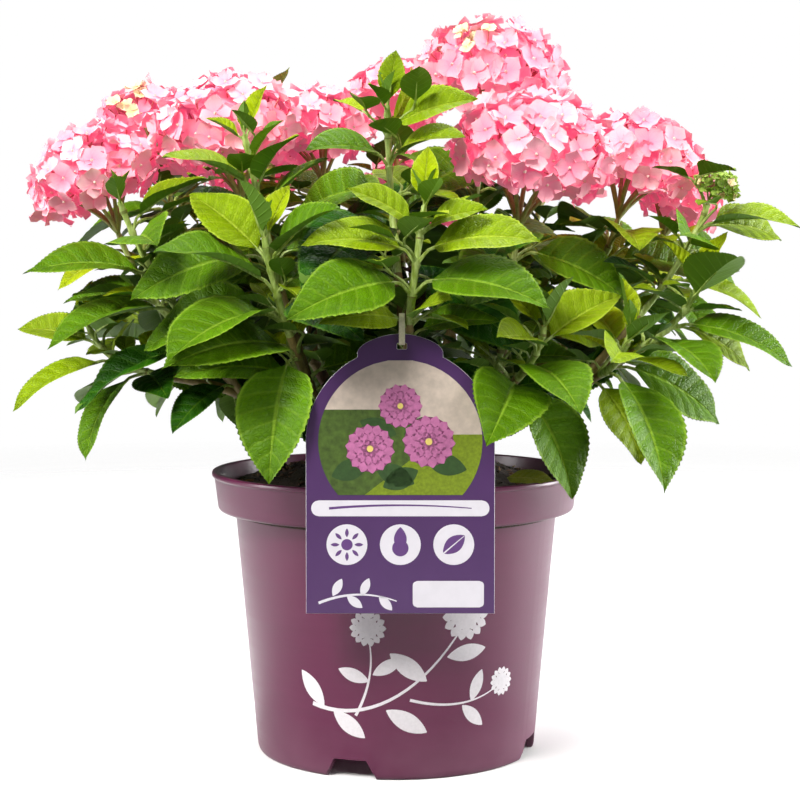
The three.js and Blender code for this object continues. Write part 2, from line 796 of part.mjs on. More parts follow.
function potSolid() {
  const { wall, floor, cornerRadius: corner } = POT;
  const wallRadius = (z) => mix(POT.footRadius, POT.bodyTopRadius, z / POT.collarFoot);
  const outline = [
    [0, floor],
    [wallRadius(0) - wall - POT.foot, floor],
    [wallRadius(0) - wall - POT.foot, 0],
    [wallRadius(0) - corner * 0.5, 0],
    [wallRadius(0) - corner * 0.15, corner * 0.3],
    [wallRadius(corner), corner],
    [POT.bodyTopRadius, POT.collarFoot],
    [POT.collarFootRadius, POT.collarFoot],
    [POT.collarTopRadius, POT.height - POT.lipHeight],
    [POT.rimRadius, POT.height - POT.lipHeight],
    [POT.rimRadius, POT.height],
    [POT.rimRadius - wall - POT.lip, POT.height],
    [POT.collarFootRadius - wall, POT.collarFoot + wall],
    [POT.bodyTopRadius - wall, POT.collarFoot - wall],
    [wallRadius(floor) - wall, floor + wall],
    [0, floor + wall],
  ];
  const lathe = new THREE.LatheGeometry(
    outline.map(([r, z]) => new THREE.Vector2(r, z)),
    POT.sides,
  ).rotateX(Math.PI / 2);
  let pot = solidOf(lathe);
  const notch = new THREE.Shape([
    new THREE.Vector2(-NOTCH.widthFoot / 2, -1),
    new THREE.Vector2(NOTCH.widthFoot / 2, -1),
    new THREE.Vector2(NOTCH.widthTop / 2, NOTCH.height),
    new THREE.Vector2(-NOTCH.widthTop / 2, NOTCH.height),
  ]);
  for (let k = 0; k < NOTCH.count; k++) {
    const cutter = new THREE.ExtrudeGeometry(notch, { depth: NOTCH.depth, bevelEnabled: false })
      .rotateX(Math.PI / 2)
      .rotateZ(Math.PI / 2)
      .translate(NOTCH.inner, 0, 0)
      .rotateZ(rad(NOTCH.first + (360 / NOTCH.count) * k));
    pot = pot.subtract(solidOf(cutter));
  }
  for (let k = 0; k < DRAIN.count; k++) {
    const turn = rad(DRAIN.first + (360 / DRAIN.count) * k);
    const drill = new THREE.CylinderGeometry(DRAIN.radius, DRAIN.radius, 3 * wall, DRAIN.sides)
      .rotateX(Math.PI / 2)
      .translate(DRAIN.ring * Math.cos(turn), DRAIN.ring * Math.sin(turn), floor + wall / 2);
    pot = pot.subtract(solidOf(drill));
  }
  return pot;
}

function compostSolid() {
  const { clear } = COMPOST;
  const inside = (z) => mix(POT.footRadius, POT.bodyTopRadius, z / POT.collarFoot) - POT.wall - clear;
  const low = POT.floor + POT.wall + clear;
  const upperWall = POT.collarFootRadius - POT.wall - clear;
  const outline = [
    [0, low],
    [inside(POT.floor) - 1, low],
    [inside(POT.collarFoot) - clear, POT.collarFoot - POT.wall + 2 * clear],
    [upperWall - 1.5, POT.collarFoot + 2 * POT.wall],
    [upperWall - 0.5, COMPOST.edge],
    [COMPOST.shoulderRadius, COMPOST.shoulder],
    [COMPOST.topRadius, COMPOST.top],
    [0, COMPOST.top],
  ];
  const lathe = new THREE.LatheGeometry(
    outline.map(([r, z]) => new THREE.Vector2(r, z)),
    POT.sides,
  ).rotateX(Math.PI / 2);
  return solidOf(lathe);
}

// Height of the compost's surface at a distance from the pot's axis.
function compostHeight(radius) {
  const { topRadius, shoulderRadius, top, shoulder } = COMPOST;
  if (radius <= topRadius) return top;
  return mix(top, shoulder, (radius - topRadius) / (shoulderRadius - topRadius));
}

// The room that the pot keeps: its outside, filled, and a little larger.
function potRoom() {
  const spare = 1;
  const outline = [
    [0, 0],
    [POT.footRadius + spare, 0],
    [POT.bodyTopRadius + spare, POT.collarFoot],
    [POT.rimRadius + spare, POT.collarFoot - spare],
    [POT.rimRadius + spare, POT.height + spare],
    [COMPOST.topRadius, COMPOST.top + spare],
    [0, COMPOST.top + spare],
  ];
  const points = outline.map(([r, z]) => new THREE.Vector2(r, z));
  return solidOf(new THREE.LatheGeometry(points, POT.sides).rotateX(Math.PI / 2));
}

// The dead, snapped-off cane that stands in the compost.
function stubSolid(more = 0) {
  const [x, y] = STUB.foot;
  const ground = compostHeight(Math.hypot(x, y)) + STUB.seat;
  const foot = vec(x, y, ground);
  const tip = vec(...STUB.tip);
  const middle = foot.clone().lerp(tip, 0.5).add(vec(...STUB.bend));
  const radii = [STUB.radius, mix(STUB.radius, STUB.tipRadius, 0.6), STUB.tipRadius].map((r) => r + more);
  return solidOf(limb([foot, middle, tip], radii, 6));
}

function caneSolid(cane, more = 0) {
  const line = caneLine(cane);
  const centres = [];
  const radii = [];
  for (let i = 0; i <= CANE.steps; i++) {
    const t = i / CANE.steps;
    const { point, tangent } = bezier(line, t);
    const radius = mix(CANE.radius, CANE.forkRadius, t) + more;
    // A short straight stretch at each end keeps its cut square to the line.
    if (i === CANE.steps) {
      centres.push(point.clone().addScaledVector(tangent, -CANE.endStretch));
      radii.push(radius);
    }
    centres.push(point);
    radii.push(radius);
    if (i === 0) {
      centres.push(point.clone().addScaledVector(tangent, CANE.endStretch));
      radii.push(radius);
    }
  }
  return solidOf(limb(centres, radii, CANE.sides));
}

// The card's outline round the centre of its round part, x across and y up.
function labelOutline(more = 0) {
  const squareHeight = LABEL.squareHeight + more;
  const tabWidth = LABEL.tabWidth + 2 * more;
  const tabHeight = LABEL.tabHeight + more;
  const { tabShoulder } = LABEL;
  const half = LABEL.width / 2 + more;
  const side = Math.acos(tabWidth / 2 / half);
  const shape = new THREE.Shape();
  shape.moveTo(-half, -squareHeight);
  shape.lineTo(half, -squareHeight);
  shape.lineTo(half, 0);
  shape.absarc(0, 0, half, 0, side, false);
  shape.lineTo(tabWidth / 2, tabShoulder);
  shape.quadraticCurveTo(tabWidth / 2 - 1, tabShoulder + 5, tabWidth / 4, tabHeight - 2);
  shape.quadraticCurveTo(0, tabHeight + 2, -tabWidth / 4, tabHeight - 2);
  shape.quadraticCurveTo(-tabWidth / 2 + 1, tabShoulder + 5, -tabWidth / 2, tabShoulder);
  shape.absarc(0, 0, half, Math.PI - side, Math.PI, false);
  if (more) return shape;
  const slot = new THREE.Path();
  const slotY = tabHeight - LABEL.slotDrop;
  const [w, h] = [LABEL.slotWidth / 2, LABEL.slotHeight / 2];
  slot.moveTo(LABEL.tuck - w, slotY - h);
  slot.lineTo(LABEL.tuck - w, slotY + h);
  slot.lineTo(LABEL.tuck + w, slotY + h);
  slot.lineTo(LABEL.tuck + w, slotY - h);
  shape.holes.push(slot);
  return shape;
}

// The label and its strap, with the room that each keeps, hung from a leaf stalk that runs left to right.
function labelSolids(wish) {
  const { node, tangent, azimuth, lift, length, look } = wish;
  const leaf = leafFrom(node, tangent, azimuth, lift, 0, length, look);
  const share = STRAP.along / leaf.base.distanceTo(node);
  const hook = node.clone().lerp(leaf.base, share);
  const bar = hook.clone().add(vec(0, 0, -STRAP.drop));
  const { slotDrop, slotHeight, tabHeight, thickness, tuck } = LABEL;
  const barHeight = (slotDrop - slotHeight / 2) / 2;

  const card = (more) => {
    const solid = new THREE.ExtrudeGeometry(labelOutline(more), {
      depth: thickness + 2 * more,
      bevelEnabled: false,
      curveSegments: 10,
    });
    return solidOf(
      solid
        .translate(0, -tabHeight + barHeight, -more - thickness / 2)
        .rotateX(Math.PI / 2 - rad(LABEL.lean))
        .translate(bar.x - tuck, bar.y, bar.z),
    );
  };
  const belt = (more) => {
    const points = [];
    const rounds = [
      [hook, STRAP.hookRadius + more, 0],
      [bar, barHeight + 0.5 + more, Math.PI],
    ];
    for (const [centre, radius, from] of rounds) {
      for (let k = 0; k <= 6; k++) {
        const turn = from + (Math.PI * k) / 6;
        const y = centre.y + Math.min(radius, STRAP.hookRadius + more) * Math.cos(turn);
        points.push(new THREE.Vector2(y, centre.z + radius * Math.sin(turn)));
      }
    }
    return points;
  };
  // The strip's outline is drawn in the row's Y and Z, and its depth is along X.
  const strip = (inner, outer, width) => {
    const shape = new THREE.Shape(belt(outer));
    if (inner !== null) shape.holes.push(new THREE.Path(belt(inner)));
    const turned = new THREE.Matrix4().makeBasis(vec(0, 1, 0), vec(0, 0, 1), vec(1, 0, 0));
    return solidOf(
      new THREE.ExtrudeGeometry(shape, { depth: width, bevelEnabled: false })
        .applyMatrix4(turned)
        .translate(hook.x - width / 2, 0, 0),
    );
  };
  return [
    ["label", card(0), card(0.7)],
    ["strap", strip(0, STRAP.thickness, STRAP.width), strip(null, STRAP.thickness + 0.5, STRAP.width + 1)],
  ];
}

// ---------------------------------------------------------------- assembly

const finish = (color, roughness) => new THREE.MeshStandardMaterial({ color, roughness, metalness: 0 });
const MATERIALS = {
  pot: finish(0x6b3a55, 0.38),
  compost: finish(0x1d120c, 0.95),
  cane: finish(0x6d4a2c, 0.85),
  dead: finish(0x241610, 0.95),
  foliage: finish(0x3f7d1c, 0.5),
  label: finish(0x5a3a70, 0.4),
  strap: finish(0xcdbf94, 0.6),
};

const plant = new THREE.Group();
function add(name, solid, material) {
  const mesh = new THREE.Mesh(geometryOf(solid), material);
  mesh.name = name;
  plant.add(mesh);
}

const pot = potSolid();
const compost = compostSolid();
const stub = stubSolid();
take(potRoom(), "pot");
take(stubSolid(0.6), "stub");
add("pot", pot, MATERIALS.pot);
add("compost", compost, MATERIALS.compost);
add("stub", stub, MATERIALS.dead);

// Limbs and blooms first, so that every leaf can be tested against them.
for (const cane of CANES) {
  add("cane_" + cane.name, caneSolid(cane), MATERIALS.cane);
  take(caneSolid(cane, 0.5), "cane");
  for (const piece of neckSolid(cane)) take(piece, cane.name);
  for (const shoot of cane.shoots) {
    take(shootStem(shootLine(cane, shoot), 0.5), cane.name);
    if (shoot.head) take(bloomRoom(shoot), cane.name);
  }
}

// The leaf stalk that the label hangs from sets the label's place.
const wishes = CANES.map((cane, i) => {
  const random = seeded(SEED + i);
  return cane.shoots.map((shoot) => leafWishes(cane, shoot, random));
});
const hanging = wishes.flat(2).find((wish) => wish.hangs);
for (const [name, solid, room] of labelSolids(hanging)) {
  add(name, solid, MATERIALS[name]);
  take(room, name);
}

CANES.forEach((cane, i) => {
  const random = seeded(SEED + 100 + i);
  const pieces = neckSolid(cane);
  cane.shoots.forEach((shoot, k) => {
    pieces.push(shootStem(shootLine(cane, shoot)));
    if (shoot.head) pieces.push(...bloom(shoot, random));
    for (const leaf of growLeaves(cane, wishes[i][k])) {
      pieces.push(leafSolid(leaf, leaf.young ? LEAF.youngRows : LEAF.rows));
    }
  });
  add("foliage_" + cane.name, fuse(pieces), MATERIALS.foliage);
});

export default plant;
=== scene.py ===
"""A mophead hydrangea in its nursery pot, dressed with leaves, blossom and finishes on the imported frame.

Lengths in this file are in millimetres until a mesh is made. +Z is up, -Y is the front, and the origin
is on the pot's axis, on the surface that it stands on.
"""

import math
from typing import NamedTuple

import bpy
import numpy as np
from bpy.props import FloatProperty, FloatVectorProperty, IntProperty, PointerProperty
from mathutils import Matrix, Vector
from mathutils.bvhtree import BVHTree
from mathutils.geometry import tessellate_polygon


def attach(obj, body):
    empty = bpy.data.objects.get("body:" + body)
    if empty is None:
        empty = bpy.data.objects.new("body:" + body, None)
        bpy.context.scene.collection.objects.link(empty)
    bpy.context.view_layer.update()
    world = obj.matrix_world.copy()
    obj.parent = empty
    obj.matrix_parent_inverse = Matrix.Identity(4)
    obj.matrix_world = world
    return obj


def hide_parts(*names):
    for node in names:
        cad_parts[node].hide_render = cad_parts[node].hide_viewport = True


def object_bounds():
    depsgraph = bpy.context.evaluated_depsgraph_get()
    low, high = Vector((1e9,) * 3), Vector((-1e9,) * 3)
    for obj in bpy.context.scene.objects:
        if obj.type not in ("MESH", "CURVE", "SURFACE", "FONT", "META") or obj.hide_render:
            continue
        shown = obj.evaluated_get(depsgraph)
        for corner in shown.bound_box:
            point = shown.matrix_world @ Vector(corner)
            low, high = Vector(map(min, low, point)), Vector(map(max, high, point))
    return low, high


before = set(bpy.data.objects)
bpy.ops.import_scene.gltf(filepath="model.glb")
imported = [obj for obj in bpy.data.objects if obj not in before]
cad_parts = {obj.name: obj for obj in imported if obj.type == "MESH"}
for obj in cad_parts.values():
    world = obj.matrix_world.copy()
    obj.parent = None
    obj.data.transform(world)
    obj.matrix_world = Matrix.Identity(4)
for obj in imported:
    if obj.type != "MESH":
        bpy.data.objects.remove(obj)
CAD_BOX = [list(corner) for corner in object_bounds()]

bl_info = {
    "name": "Potted mophead hydrangea", "version": (1, 0, 0), "blender": (4, 5, 0),
    "location": "View3D > Sidebar > Hydrangea",
    "description": "Grows the leaves, blossom, pot and label of a hydrangea shrub",
    "category": "Add Mesh",
}

MM = 0.001
UP = np.array((0.0, 0.0, 1.0))
FOLIAGE_NODES = [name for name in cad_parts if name.startswith("foliage_")]
CANE_NODES = [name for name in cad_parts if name.startswith("cane_")]


def display(red, green, blue):
    """A colour given as it looks on a display, from 0 to 255, in the linear form that a material takes."""
    share = np.array((red, green, blue)) / 255
    linear = np.where(share <= 0.04045, share / 12.92, ((share + 0.055) / 1.055) ** 2.4)
    return tuple(float(part) for part in linear)


# ---- sizes and colours that a user may change


def colour_of(name, description, red, green, blue):
    """A colour property with its default as it looks on a display."""
    return FloatVectorProperty(
        name=name, description=description, subtype="COLOR", size=3, min=0.0, max=1.0,
        default=display(red, green, blue),
    )


def share_of(name, description, default, most):
    """A share property, from 0 to most."""
    return FloatProperty(
        name=name, description=description, default=default, min=0.0, max=most, subtype="FACTOR"
    )


def count_of(name, description, default, least, most):
    """A property that counts something."""
    return IntProperty(name=name, description=description, default=default, min=least, max=most)


class HydrangeaSizes(bpy.types.PropertyGroup):
    """Sizes of the shrub's finer parts."""

    leaf_rows: count_of("Leaf rows", "Rows of faces along a grown leaf", 12, 6, 20)
    tooth_depth: share_of("Tooth depth", "How far a leaf's teeth stand out, over its length", 0.017, 0.05)
    quilting: share_of("Quilting", "How far a blade swells between veins, over its length", 0.011, 0.03)
    side_twigs: share_of("Side twigs", "Share of leaf stalks with a leafy twig above them", 0.8, 1.0)
    floret_radius: FloatProperty(
        name="Floret radius", description="Radius of an open floret on the largest head",
        default=0.0108, min=0.005, max=0.02, unit="LENGTH",
    )
    floret_count: count_of("Florets", "Florets in the upper layer of the largest head", 64, 10, 100)
    crumb_count: count_of("Compost crumbs", "Crumbs and bark chips on the compost", 900, 0, 3000)


class HydrangeaColours(bpy.types.PropertyGroup):
    """Colours of the shrub, its pot and its label."""

    leaf_lime: colour_of("Youngest leaf", "Leaves at a shoot's tip", 176, 198, 4)
    leaf_bright: colour_of("Young leaf", "Leaves below the youngest", 134, 162, 4)
    leaf_green: colour_of("Grown leaf", "Leaves in full light", 86, 128, 4)
    # The older and oldest greens also serve as painted shade: leaf_kind makes leaves in the crown's middle
    # a step darker.
    leaf_deep: colour_of("Older leaf", "Leaves lower on a shoot", 38, 90, 2)
    leaf_dark: colour_of("Oldest leaf", "Leaves deep in the crown", 6, 46, 1)
    leaf_under: colour_of("Leaf underside", "The pale side of every leaf", 92, 130, 24)
    stalk: colour_of("Leaf stalk", "Leaf stalks and young stems", 124, 146, 44)
    ripe_stem: colour_of("Ripe stem", "Lower, ripening stems", 110, 92, 46)
    bark: colour_of("Bark", "Canes at the compost", 112, 80, 52)
    dead_wood: colour_of("Dead wood", "The snapped-off cane", 84, 62, 46)
    sepal_pale: colour_of("Pale sepal", "Edge of the palest florets", 254, 210, 210)
    sepal_pink: colour_of("Pink sepal", "Edge of most florets", 253, 191, 195)
    sepal_rose: colour_of("Rose sepal", "Edge of the deepest florets", 252, 179, 187)
    sepal_cream: colour_of("Unripe sepal", "Florets that are still opening", 252, 240, 202)
    pot: colour_of("Pot plastic", "Satin plastic of the pot", 96, 30, 66)
    print: colour_of("Print", "Sprig printed on the pot", 244, 238, 242)
    compost: colour_of("Compost", "Moist compost", 46, 34, 26)
    card: colour_of("Label", "Ground of the label's card", 76, 44, 94)
    strap: colour_of("Strap", "Strap that the label hangs from", 240, 232, 198)


def sizes():
    """The scene's sizes, as the user set them."""
    return bpy.context.scene.hydrangea_sizes


def colours():
    """The scene's colours, as the user set them."""
    return bpy.context.scene.hydrangea_colours


def tint(name):
    """One of the scene's colours."""
    return tuple(getattr(colours(), name))


# ---- driving dimensions, as in the part's source

POT = dict(
    rim_radius=115.0, height=175.0, lip_height=3.0, collar_top_radius=113.5, collar_foot_radius=111.0,
    collar_foot=151.0, body_top_radius=100.5, foot_radius=87.0, wall=2.0, foot=2.0, lip=1.5, floor=12.0,
)
NOTCH = dict(count=4, first=-108.0, height=11.6, width_top=20.0, width_foot=32.0)
DRAIN = dict(count=4, radius=6.0, ring=62.0, first=22.5)
COMPOST = dict(edge=164.0, shoulder_radius=78.0, shoulder=172.0, top_radius=48.0, top=180.0)
STUB = dict(foot=(-72.0, -6.0), tip=(-80.0, -10.0, 203.0), bend=(2.0, 1.0, 0.0), radius=3.2, tip_radius=2.2)
SEAT = 0.3
LABEL = dict(
    width=106.0, square_height=97.0, tab_width=48.0, tab_height=60.5, tab_shoulder=50.0, thickness=0.8,
    slot_drop=7.0, slot_width=5.5, slot_height=3.4, tuck=0.9, lean=1.2,
)
STRAP = dict(width=3.4, thickness=0.7, along=7.2, drop=8.4, hook_radius=5.0)


class Shoot(NamedTuple):
    """A shoot: its tip, azimuth of its top pair, leaf pairs, blade length, and its bloom's radius or 0."""

    tip: tuple
    turn: float
    pairs: int
    leaf: float
    head: float = 0.0
    bud: bool = False
    hanger: int = -1
    bow: tuple = (0, 0, 0)
    aims: tuple = ()


class Cane(NamedTuple):
    """A cane: where it leaves the compost, where it forks, and the shoots that it bears."""

    name: str
    foot: tuple
    fork: tuple
    shoots: tuple


CANES = (
    Cane("front_centre", (2, -34), (6, -74, 216), (
        Shoot((16, -120, 335), 90, 5, 78, hanger=4, bow=(-5, -25, 0), aims=(
            (1, 0, (-28, -132, 344)), (1, 1, (50, -136, 346)), (2, 0, (-46, -150, 322)),
            (2, 1, (80, -150, 315)), (3, 0, (-58, -160, 272)), (3, 1, (84, -160, 280)),
            (4, 0, (36, -142, 288)), (4, 1, (-42, -146, 270)),
        )),
        Shoot((-5, -60, 396), 60, 6, 74, aims=(
            (1, 0, (-16, -52, 432)), (2, 0, (-52, -90, 368)), (2, 1, (42, -80, 394)),
        )),
    )),
    Cane("front_left", (-24, -26), (-44, -64, 216), (
        Shoot((-74, -112, 318), 60, 5, 76, aims=(
            (2, 0, (-134, -136, 310)), (2, 1, (-22, -150, 312)), (3, 0, (-126, -160, 250)),
            (4, 0, (-138, -136, 232)), (4, 1, (-70, -128, 180)),
        )),
        Shoot((-88, -72, 378), 20, 6, 70, aims=(
            (1, 0, (-70, -80, 404)), (2, 0, (-134, -92, 364)), (2, 1, (-54, -96, 376)),
            (3, 1, (-32, -100, 350)),
        )),
        Shoot((-62, -84, 262), 20, 3, 66),
    )),
    Cane("left", (-34, -4), (-84, -38, 218), (
        Shoot((-164, -52, 340), 100, 6, 70, aims=(
            (3, 0, (-220, -64, 297)), (3, 1, (-134, -112, 336)), (4, 0, (-196, -96, 264)),
            (5, 0, (-188, -84, 226)),
        )),
        Shoot((-190, -16, 266), 80, 4, 66, aims=(
            (1, 0, (-237, 0, 262)), (2, 0, (-232, -40, 214)), (3, 0, (-180, -70, 192)),
        )),
        Shoot((-184, -16, 355), 100, 4, 60, head=41),
    )),
    Cane("centre_left", (-18, 6), (-48, 6, 236), (
        Shoot((-104, -10, 382), 40, 4, 76, head=47), Shoot((-50, 40, 386), 110, 4, 74, head=37),
    )),
    Cane("front_right", (22, -22), (52, -58, 214), (
        Shoot((80, -60, 365), 70, 5, 82, head=49),
        Shoot((84, -112, 268), 150, 4, 78, aims=((2, 0, (98, -166, 222)), (3, 0, (104, -92, 168)))),
        Shoot((62, -78, 258), 100, 3, 66),
    )),
    Cane("right", (38, -6), (100, -40, 222), (
        Shoot((180, -60, 292), 20, 5, 72, aims=((2, 0, (235, -62, 243)), (3, 0, (196, -112, 246)))),
        Shoot((134, -96, 262), 160, 4, 80, aims=((2, 0, (153, -122, 174)), (3, 0, (142, -84, 186)))),
        Shoot((191, -48, 349), 60, 4, 60, head=13, bud=True, aims=(
            (1, 0, (237, -20, 316)),
        )),
    )),
    Cane("right_rear", (36, 16), (88, 26, 232), (
        Shoot((148, -10, 364), 30, 4, 76, head=40), Shoot((181, 38, 344), 125, 4, 70, head=30),
        Shoot((154, 60, 262), 10, 4, 66),
    )),
    Cane("centre_right", (12, 12), (32, 22, 248), (
        Shoot((61, 34, 420), 20, 5, 74, head=49, aims=((1, 1, (18, -34, 348)), (2, 1, (34, -40, 322)))),
    )),
    Cane("rear", (6, 38), (8, 78, 226), (
        Shoot((0, 104, 412), 45, 5, 72, head=34), Shoot((12, 114, 348), 0, 4, 70, head=39),
        Shoot((-28, 104, 262), 70, 4, 64),
    )),
    Cane("rear_left", (-26, 28), (-72, 58, 226), (
        Shoot((-164, 50, 394), 0, 4, 70, head=32),
        Shoot((-92, 112, 372), 60, 4, 72, head=41),
        Shoot((-166, 76, 268), 40, 4, 66),
        Shoot((-86, 68, 404), 75, 4, 58, aims=(
            (1, 0, (-72, 62, 438)),
        )),
    )),
    Cane("rear_right", (28, 32), (74, 80, 226), (
        Shoot((104, 100, 376), 80, 4, 72, head=43), Shoot((90, 104, 262), 30, 4, 62),
        Shoot((156, 90, 294), 110, 4, 64),
    )),
)
CANE = dict(radius=4.8, fork_radius=3.7)
NECK = dict(length=8.0, radius=3.6, knuckle=4.4)
SHOOT = dict(radius=2.8, tip_radius=1.4, rise=0.4)
LEAF = dict(
    width_share=0.34, rows=(0.28, 0.68), stalk_share=0.19, stalk_radius=1.15, stalk_sunk=0.2,
    first_pair=5.0, first_gap=12.5, gap_growth=4.0, outward=0.45, facing=46.0, facing_from=110.0,
    facing_reach=60.0, room=1.1,
)


class Age(NamedTuple):
    """Look of a leaf by age: share of grown size, and its lift, droop and fold in degrees."""

    size: float
    lift: float
    droop: float
    fold: float


AGES = (
    Age(0.42, 66, 10, 46), Age(0.74, 44, 28, 34), Age(0.94, 16, 38, 30), Age(1.0, -2, 42, 28),
    Age(1.04, -16, 40, 26), Age(1.0, -28, 34, 24),
)
BUD_AGE = Age(0.2, 76, 8, 50)  # the two smallest pairs, at the very tip of a leafy shoot
TWIG_AGE = Age(0.34, 40, 22, 30)  # the leaves of a side twig
FLOWERING_AGE = 1
TRIES = (
    (0, 0, 1.0), (14, 8, 1.0), (-14, -8, 1.0), (10, 20, 0.95), (-10, -20, 0.95), (28, 6, 0.9),
    (-28, -6, 0.9), (0, 32, 0.8), (0, -30, 0.8), (18, 12, 0.68), (-18, 0, 0.6),
)
OPEN_SIDES = ("left", "right")  # canes with few leaves low down, so that there are gaps at both sides
HEAD = dict(flatness=0.8, underside=0.62, stalk=0.86, tilt=0.0022)
SEED = 20260


# ---- small helpers


def unit(vector):
    """The vector at length 1, or each vector of an array."""
    return vector / np.linalg.norm(vector, axis=-1, keepdims=True)


def mix(start, end, share):
    """From start to end, by share."""
    return start + (end - start) * share


def azimuth_of(vector):
    """Direction of a vector seen from above, in radians from +X."""
    return math.atan2(vector[1], vector[0])


def heading(azimuth):
    """The level unit vector with an azimuth in radians."""
    return np.array((math.cos(azimuth), math.sin(azimuth), 0.0))


def seeded(seed):
    """The growth rule's own generator of numbers from 0 to 1, the same on every run."""
    state = seed & 0xFFFFFFFF

    def draw():
        nonlocal state
        state = (state * 1664525 + 1013904223) & 0xFFFFFFFF
        return state / 4294967296

    return draw


def bezier(line, share):
    """Points and unit tangents of the cubic Bezier curve of four points, at one or many shares."""
    a, b, c, d = line
    t = np.asarray(share, float)[..., None]
    point = (1 - t) ** 3 * a + 3 * (1 - t) ** 2 * t * b + 3 * (1 - t) * t**2 * c + t**3 * d
    way = 3 * (1 - t) ** 2 * (b - a) + 6 * (1 - t) * t * (c - b) + 3 * t**2 * (d - c)
    return point, unit(way)


def frames_along(centres):
    """Unit vectors along a path and two square to it: the path's direction, a fixed vector less its part
    along the path, and the cross product of the two."""
    along = unit(np.gradient(centres, axis=0))
    mean = np.abs(along.mean(axis=0))
    fixed = np.eye(3)[int(mean.argmin())]
    side = unit(fixed - along * (along @ fixed)[:, None])
    return along, side, np.cross(along, side)


def around(count):
    """Even turns round a circle, in radians."""
    return 2 * np.pi * np.arange(count) / count


def swept(start, pull, end, t):
    """Points of the quadratic Bezier curve of three points, at a column of shares."""
    return start * (1 - t) ** 2 + pull * 2 * t * (1 - t) + end * t**2


def carried_round(radius, height, turn):
    """Points of an outline carried round Z, row by row: (radius cos turn, radius sin turn, height)."""
    return np.stack(np.broadcast_arrays(radius * np.cos(turn), radius * np.sin(turn), height), axis=-1)


def outward(outline):
    """Unit vectors that point out of a closed outline of (x, y), which runs anticlockwise."""
    way = np.roll(outline, -1, axis=0) - np.roll(outline, 1, axis=0)
    return np.stack((way[:, 1], -way[:, 0]), axis=1) / np.linalg.norm(way, axis=1)[:, None]


def tube_points(centres, radii, sides):
    """Rings of points round a path: centre + radius * (side * cos + across * sin). The radii are one for
    each ring, or one for each point of each ring. The two ends' middles come last."""
    centres = np.asarray(centres, float)
    _, side, across = frames_along(centres)
    angle = around(sides)
    radii = np.broadcast_to(np.asarray(radii, float).reshape(len(centres), -1), (len(centres), sides))
    round_ = side[:, None] * np.cos(angle)[:, None] + across[:, None] * np.sin(angle)[:, None]
    rings = centres[:, None] + round_ * radii[..., None]
    return np.vstack((rings.reshape(-1, 3), centres[:1], centres[-1:]))


def grid_quads(rows, columns, closed=False):
    """Quads of a grid of points, row by row. A closed grid's last column meets its first."""
    across = columns if closed else columns - 1
    row, k = np.meshgrid(np.arange(rows - 1), np.arange(across), indexing="ij")
    low = (row * columns + k).ravel()
    beside = (row * columns + (k + 1) % columns).ravel()
    return np.stack((low, beside, beside + columns, low + columns), axis=1)


def fan(first_ring, centre, count, flipped=False):
    """Triangles from a centre point to a ring of `count` points that starts at first_ring."""
    k = np.arange(count)
    ends = (first_ring + k, first_ring + (k + 1) % count)
    if flipped:
        ends = ends[::-1]
    return np.stack((np.full(count, centre), *ends), axis=1)


def closed_faces(rows, columns):
    """Quads between the rows of a tube or a form that closes round Z, and the triangles at its two ends,
    whose middles come last."""
    foot = fan(0, rows * columns, columns, flipped=True)
    top = fan((rows - 1) * columns, rows * columns + 1, columns)
    return grid_quads(rows, columns, closed=True), np.vstack((foot, top))


def linked(name, data):
    """A new object for some data, in the scene."""
    thing = bpy.data.objects.new(name, data)
    bpy.context.scene.collection.objects.link(thing)
    return thing


class Joined:
    """Many shapes gathered into one mesh. Each group of faces has a kind, which is its material's index."""

    def __init__(self, uv_name=""):
        self.points = []
        self.uv = []
        self.faces = []
        self.kinds = []
        self.count = 0
        self.uv_name = uv_name

    def add(self, points, groups, uv=None):
        """Adds points, and groups of faces as (an array of one row of corners per face, kind)."""
        points = np.asarray(points, float)
        for corners, kind in groups:
            corners = np.asarray(corners, int)
            if len(corners):
                self.faces.append(corners + self.count)
                self.kinds.append(np.broadcast_to(np.asarray(kind, int), len(corners)))
        self.points.append(points)
        if self.uv_name:
            self.uv.append(np.zeros((len(points), 2)) if uv is None else uv)
        self.count += len(points)

    def tube(self, centres, radii, sides, kind=0, end=None):
        """Adds a tube along a path, closed at its ends, which may be of a kind of their own."""
        quads, ends = closed_faces(len(centres), sides)
        self.add(tube_points(centres, radii, sides), [(quads, kind), (ends, kind if end is None else end)])

    def carried(self, points, low, high):
        """Adds a form that closes round Z, from its grid of points and the heights of its two poles."""
        quads, ends = closed_faces(*points.shape[:2])
        poles = ((0, 0, low), (0, 0, high))
        self.add(np.vstack((points.reshape(-1, 3), poles)), [(quads, 0), (ends, 0)])

    def make(self, name, materials, slot, nodes, crease=None, smooth=True):
        """The mesh as a piece that stands for the CAD nodes. crease: angle in degrees past which an edge
        is sharp."""
        mesh = bpy.data.meshes.new(name)
        corners = np.concatenate([face.ravel() for face in self.faces]).astype(np.int32)
        widths = np.concatenate([np.full(len(face), face.shape[1]) for face in self.faces])
        starts = np.concatenate(((0,), np.cumsum(widths)[:-1])).astype(np.int32)
        points = np.vstack(self.points) * MM
        mesh.vertices.add(len(points))
        mesh.vertices.foreach_set("co", points.astype(np.float32).ravel())
        mesh.loops.add(len(corners))
        mesh.loops.foreach_set("vertex_index", corners)
        mesh.polygons.add(len(widths))
        mesh.polygons.foreach_set("loop_start", starts)
        mesh.polygons.foreach_set("material_index", np.concatenate(self.kinds).astype(np.int32))
        mesh.polygons.foreach_set("use_smooth", np.full(len(widths), smooth))
        if self.uv_name:
            layer = mesh.uv_layers.new(name=self.uv_name)
            layer.data.foreach_set("uv", np.vstack(self.uv)[corners].astype(np.float32).ravel())
        mesh.update(calc_edges=True)
        if mesh.validate():
            raise RuntimeError(f"{name} has faces that don't hold together")
        if crease is not None:
            mesh.set_sharp_from_angle(angle=math.radians(crease))
        return finished(name, mesh, materials, nodes)


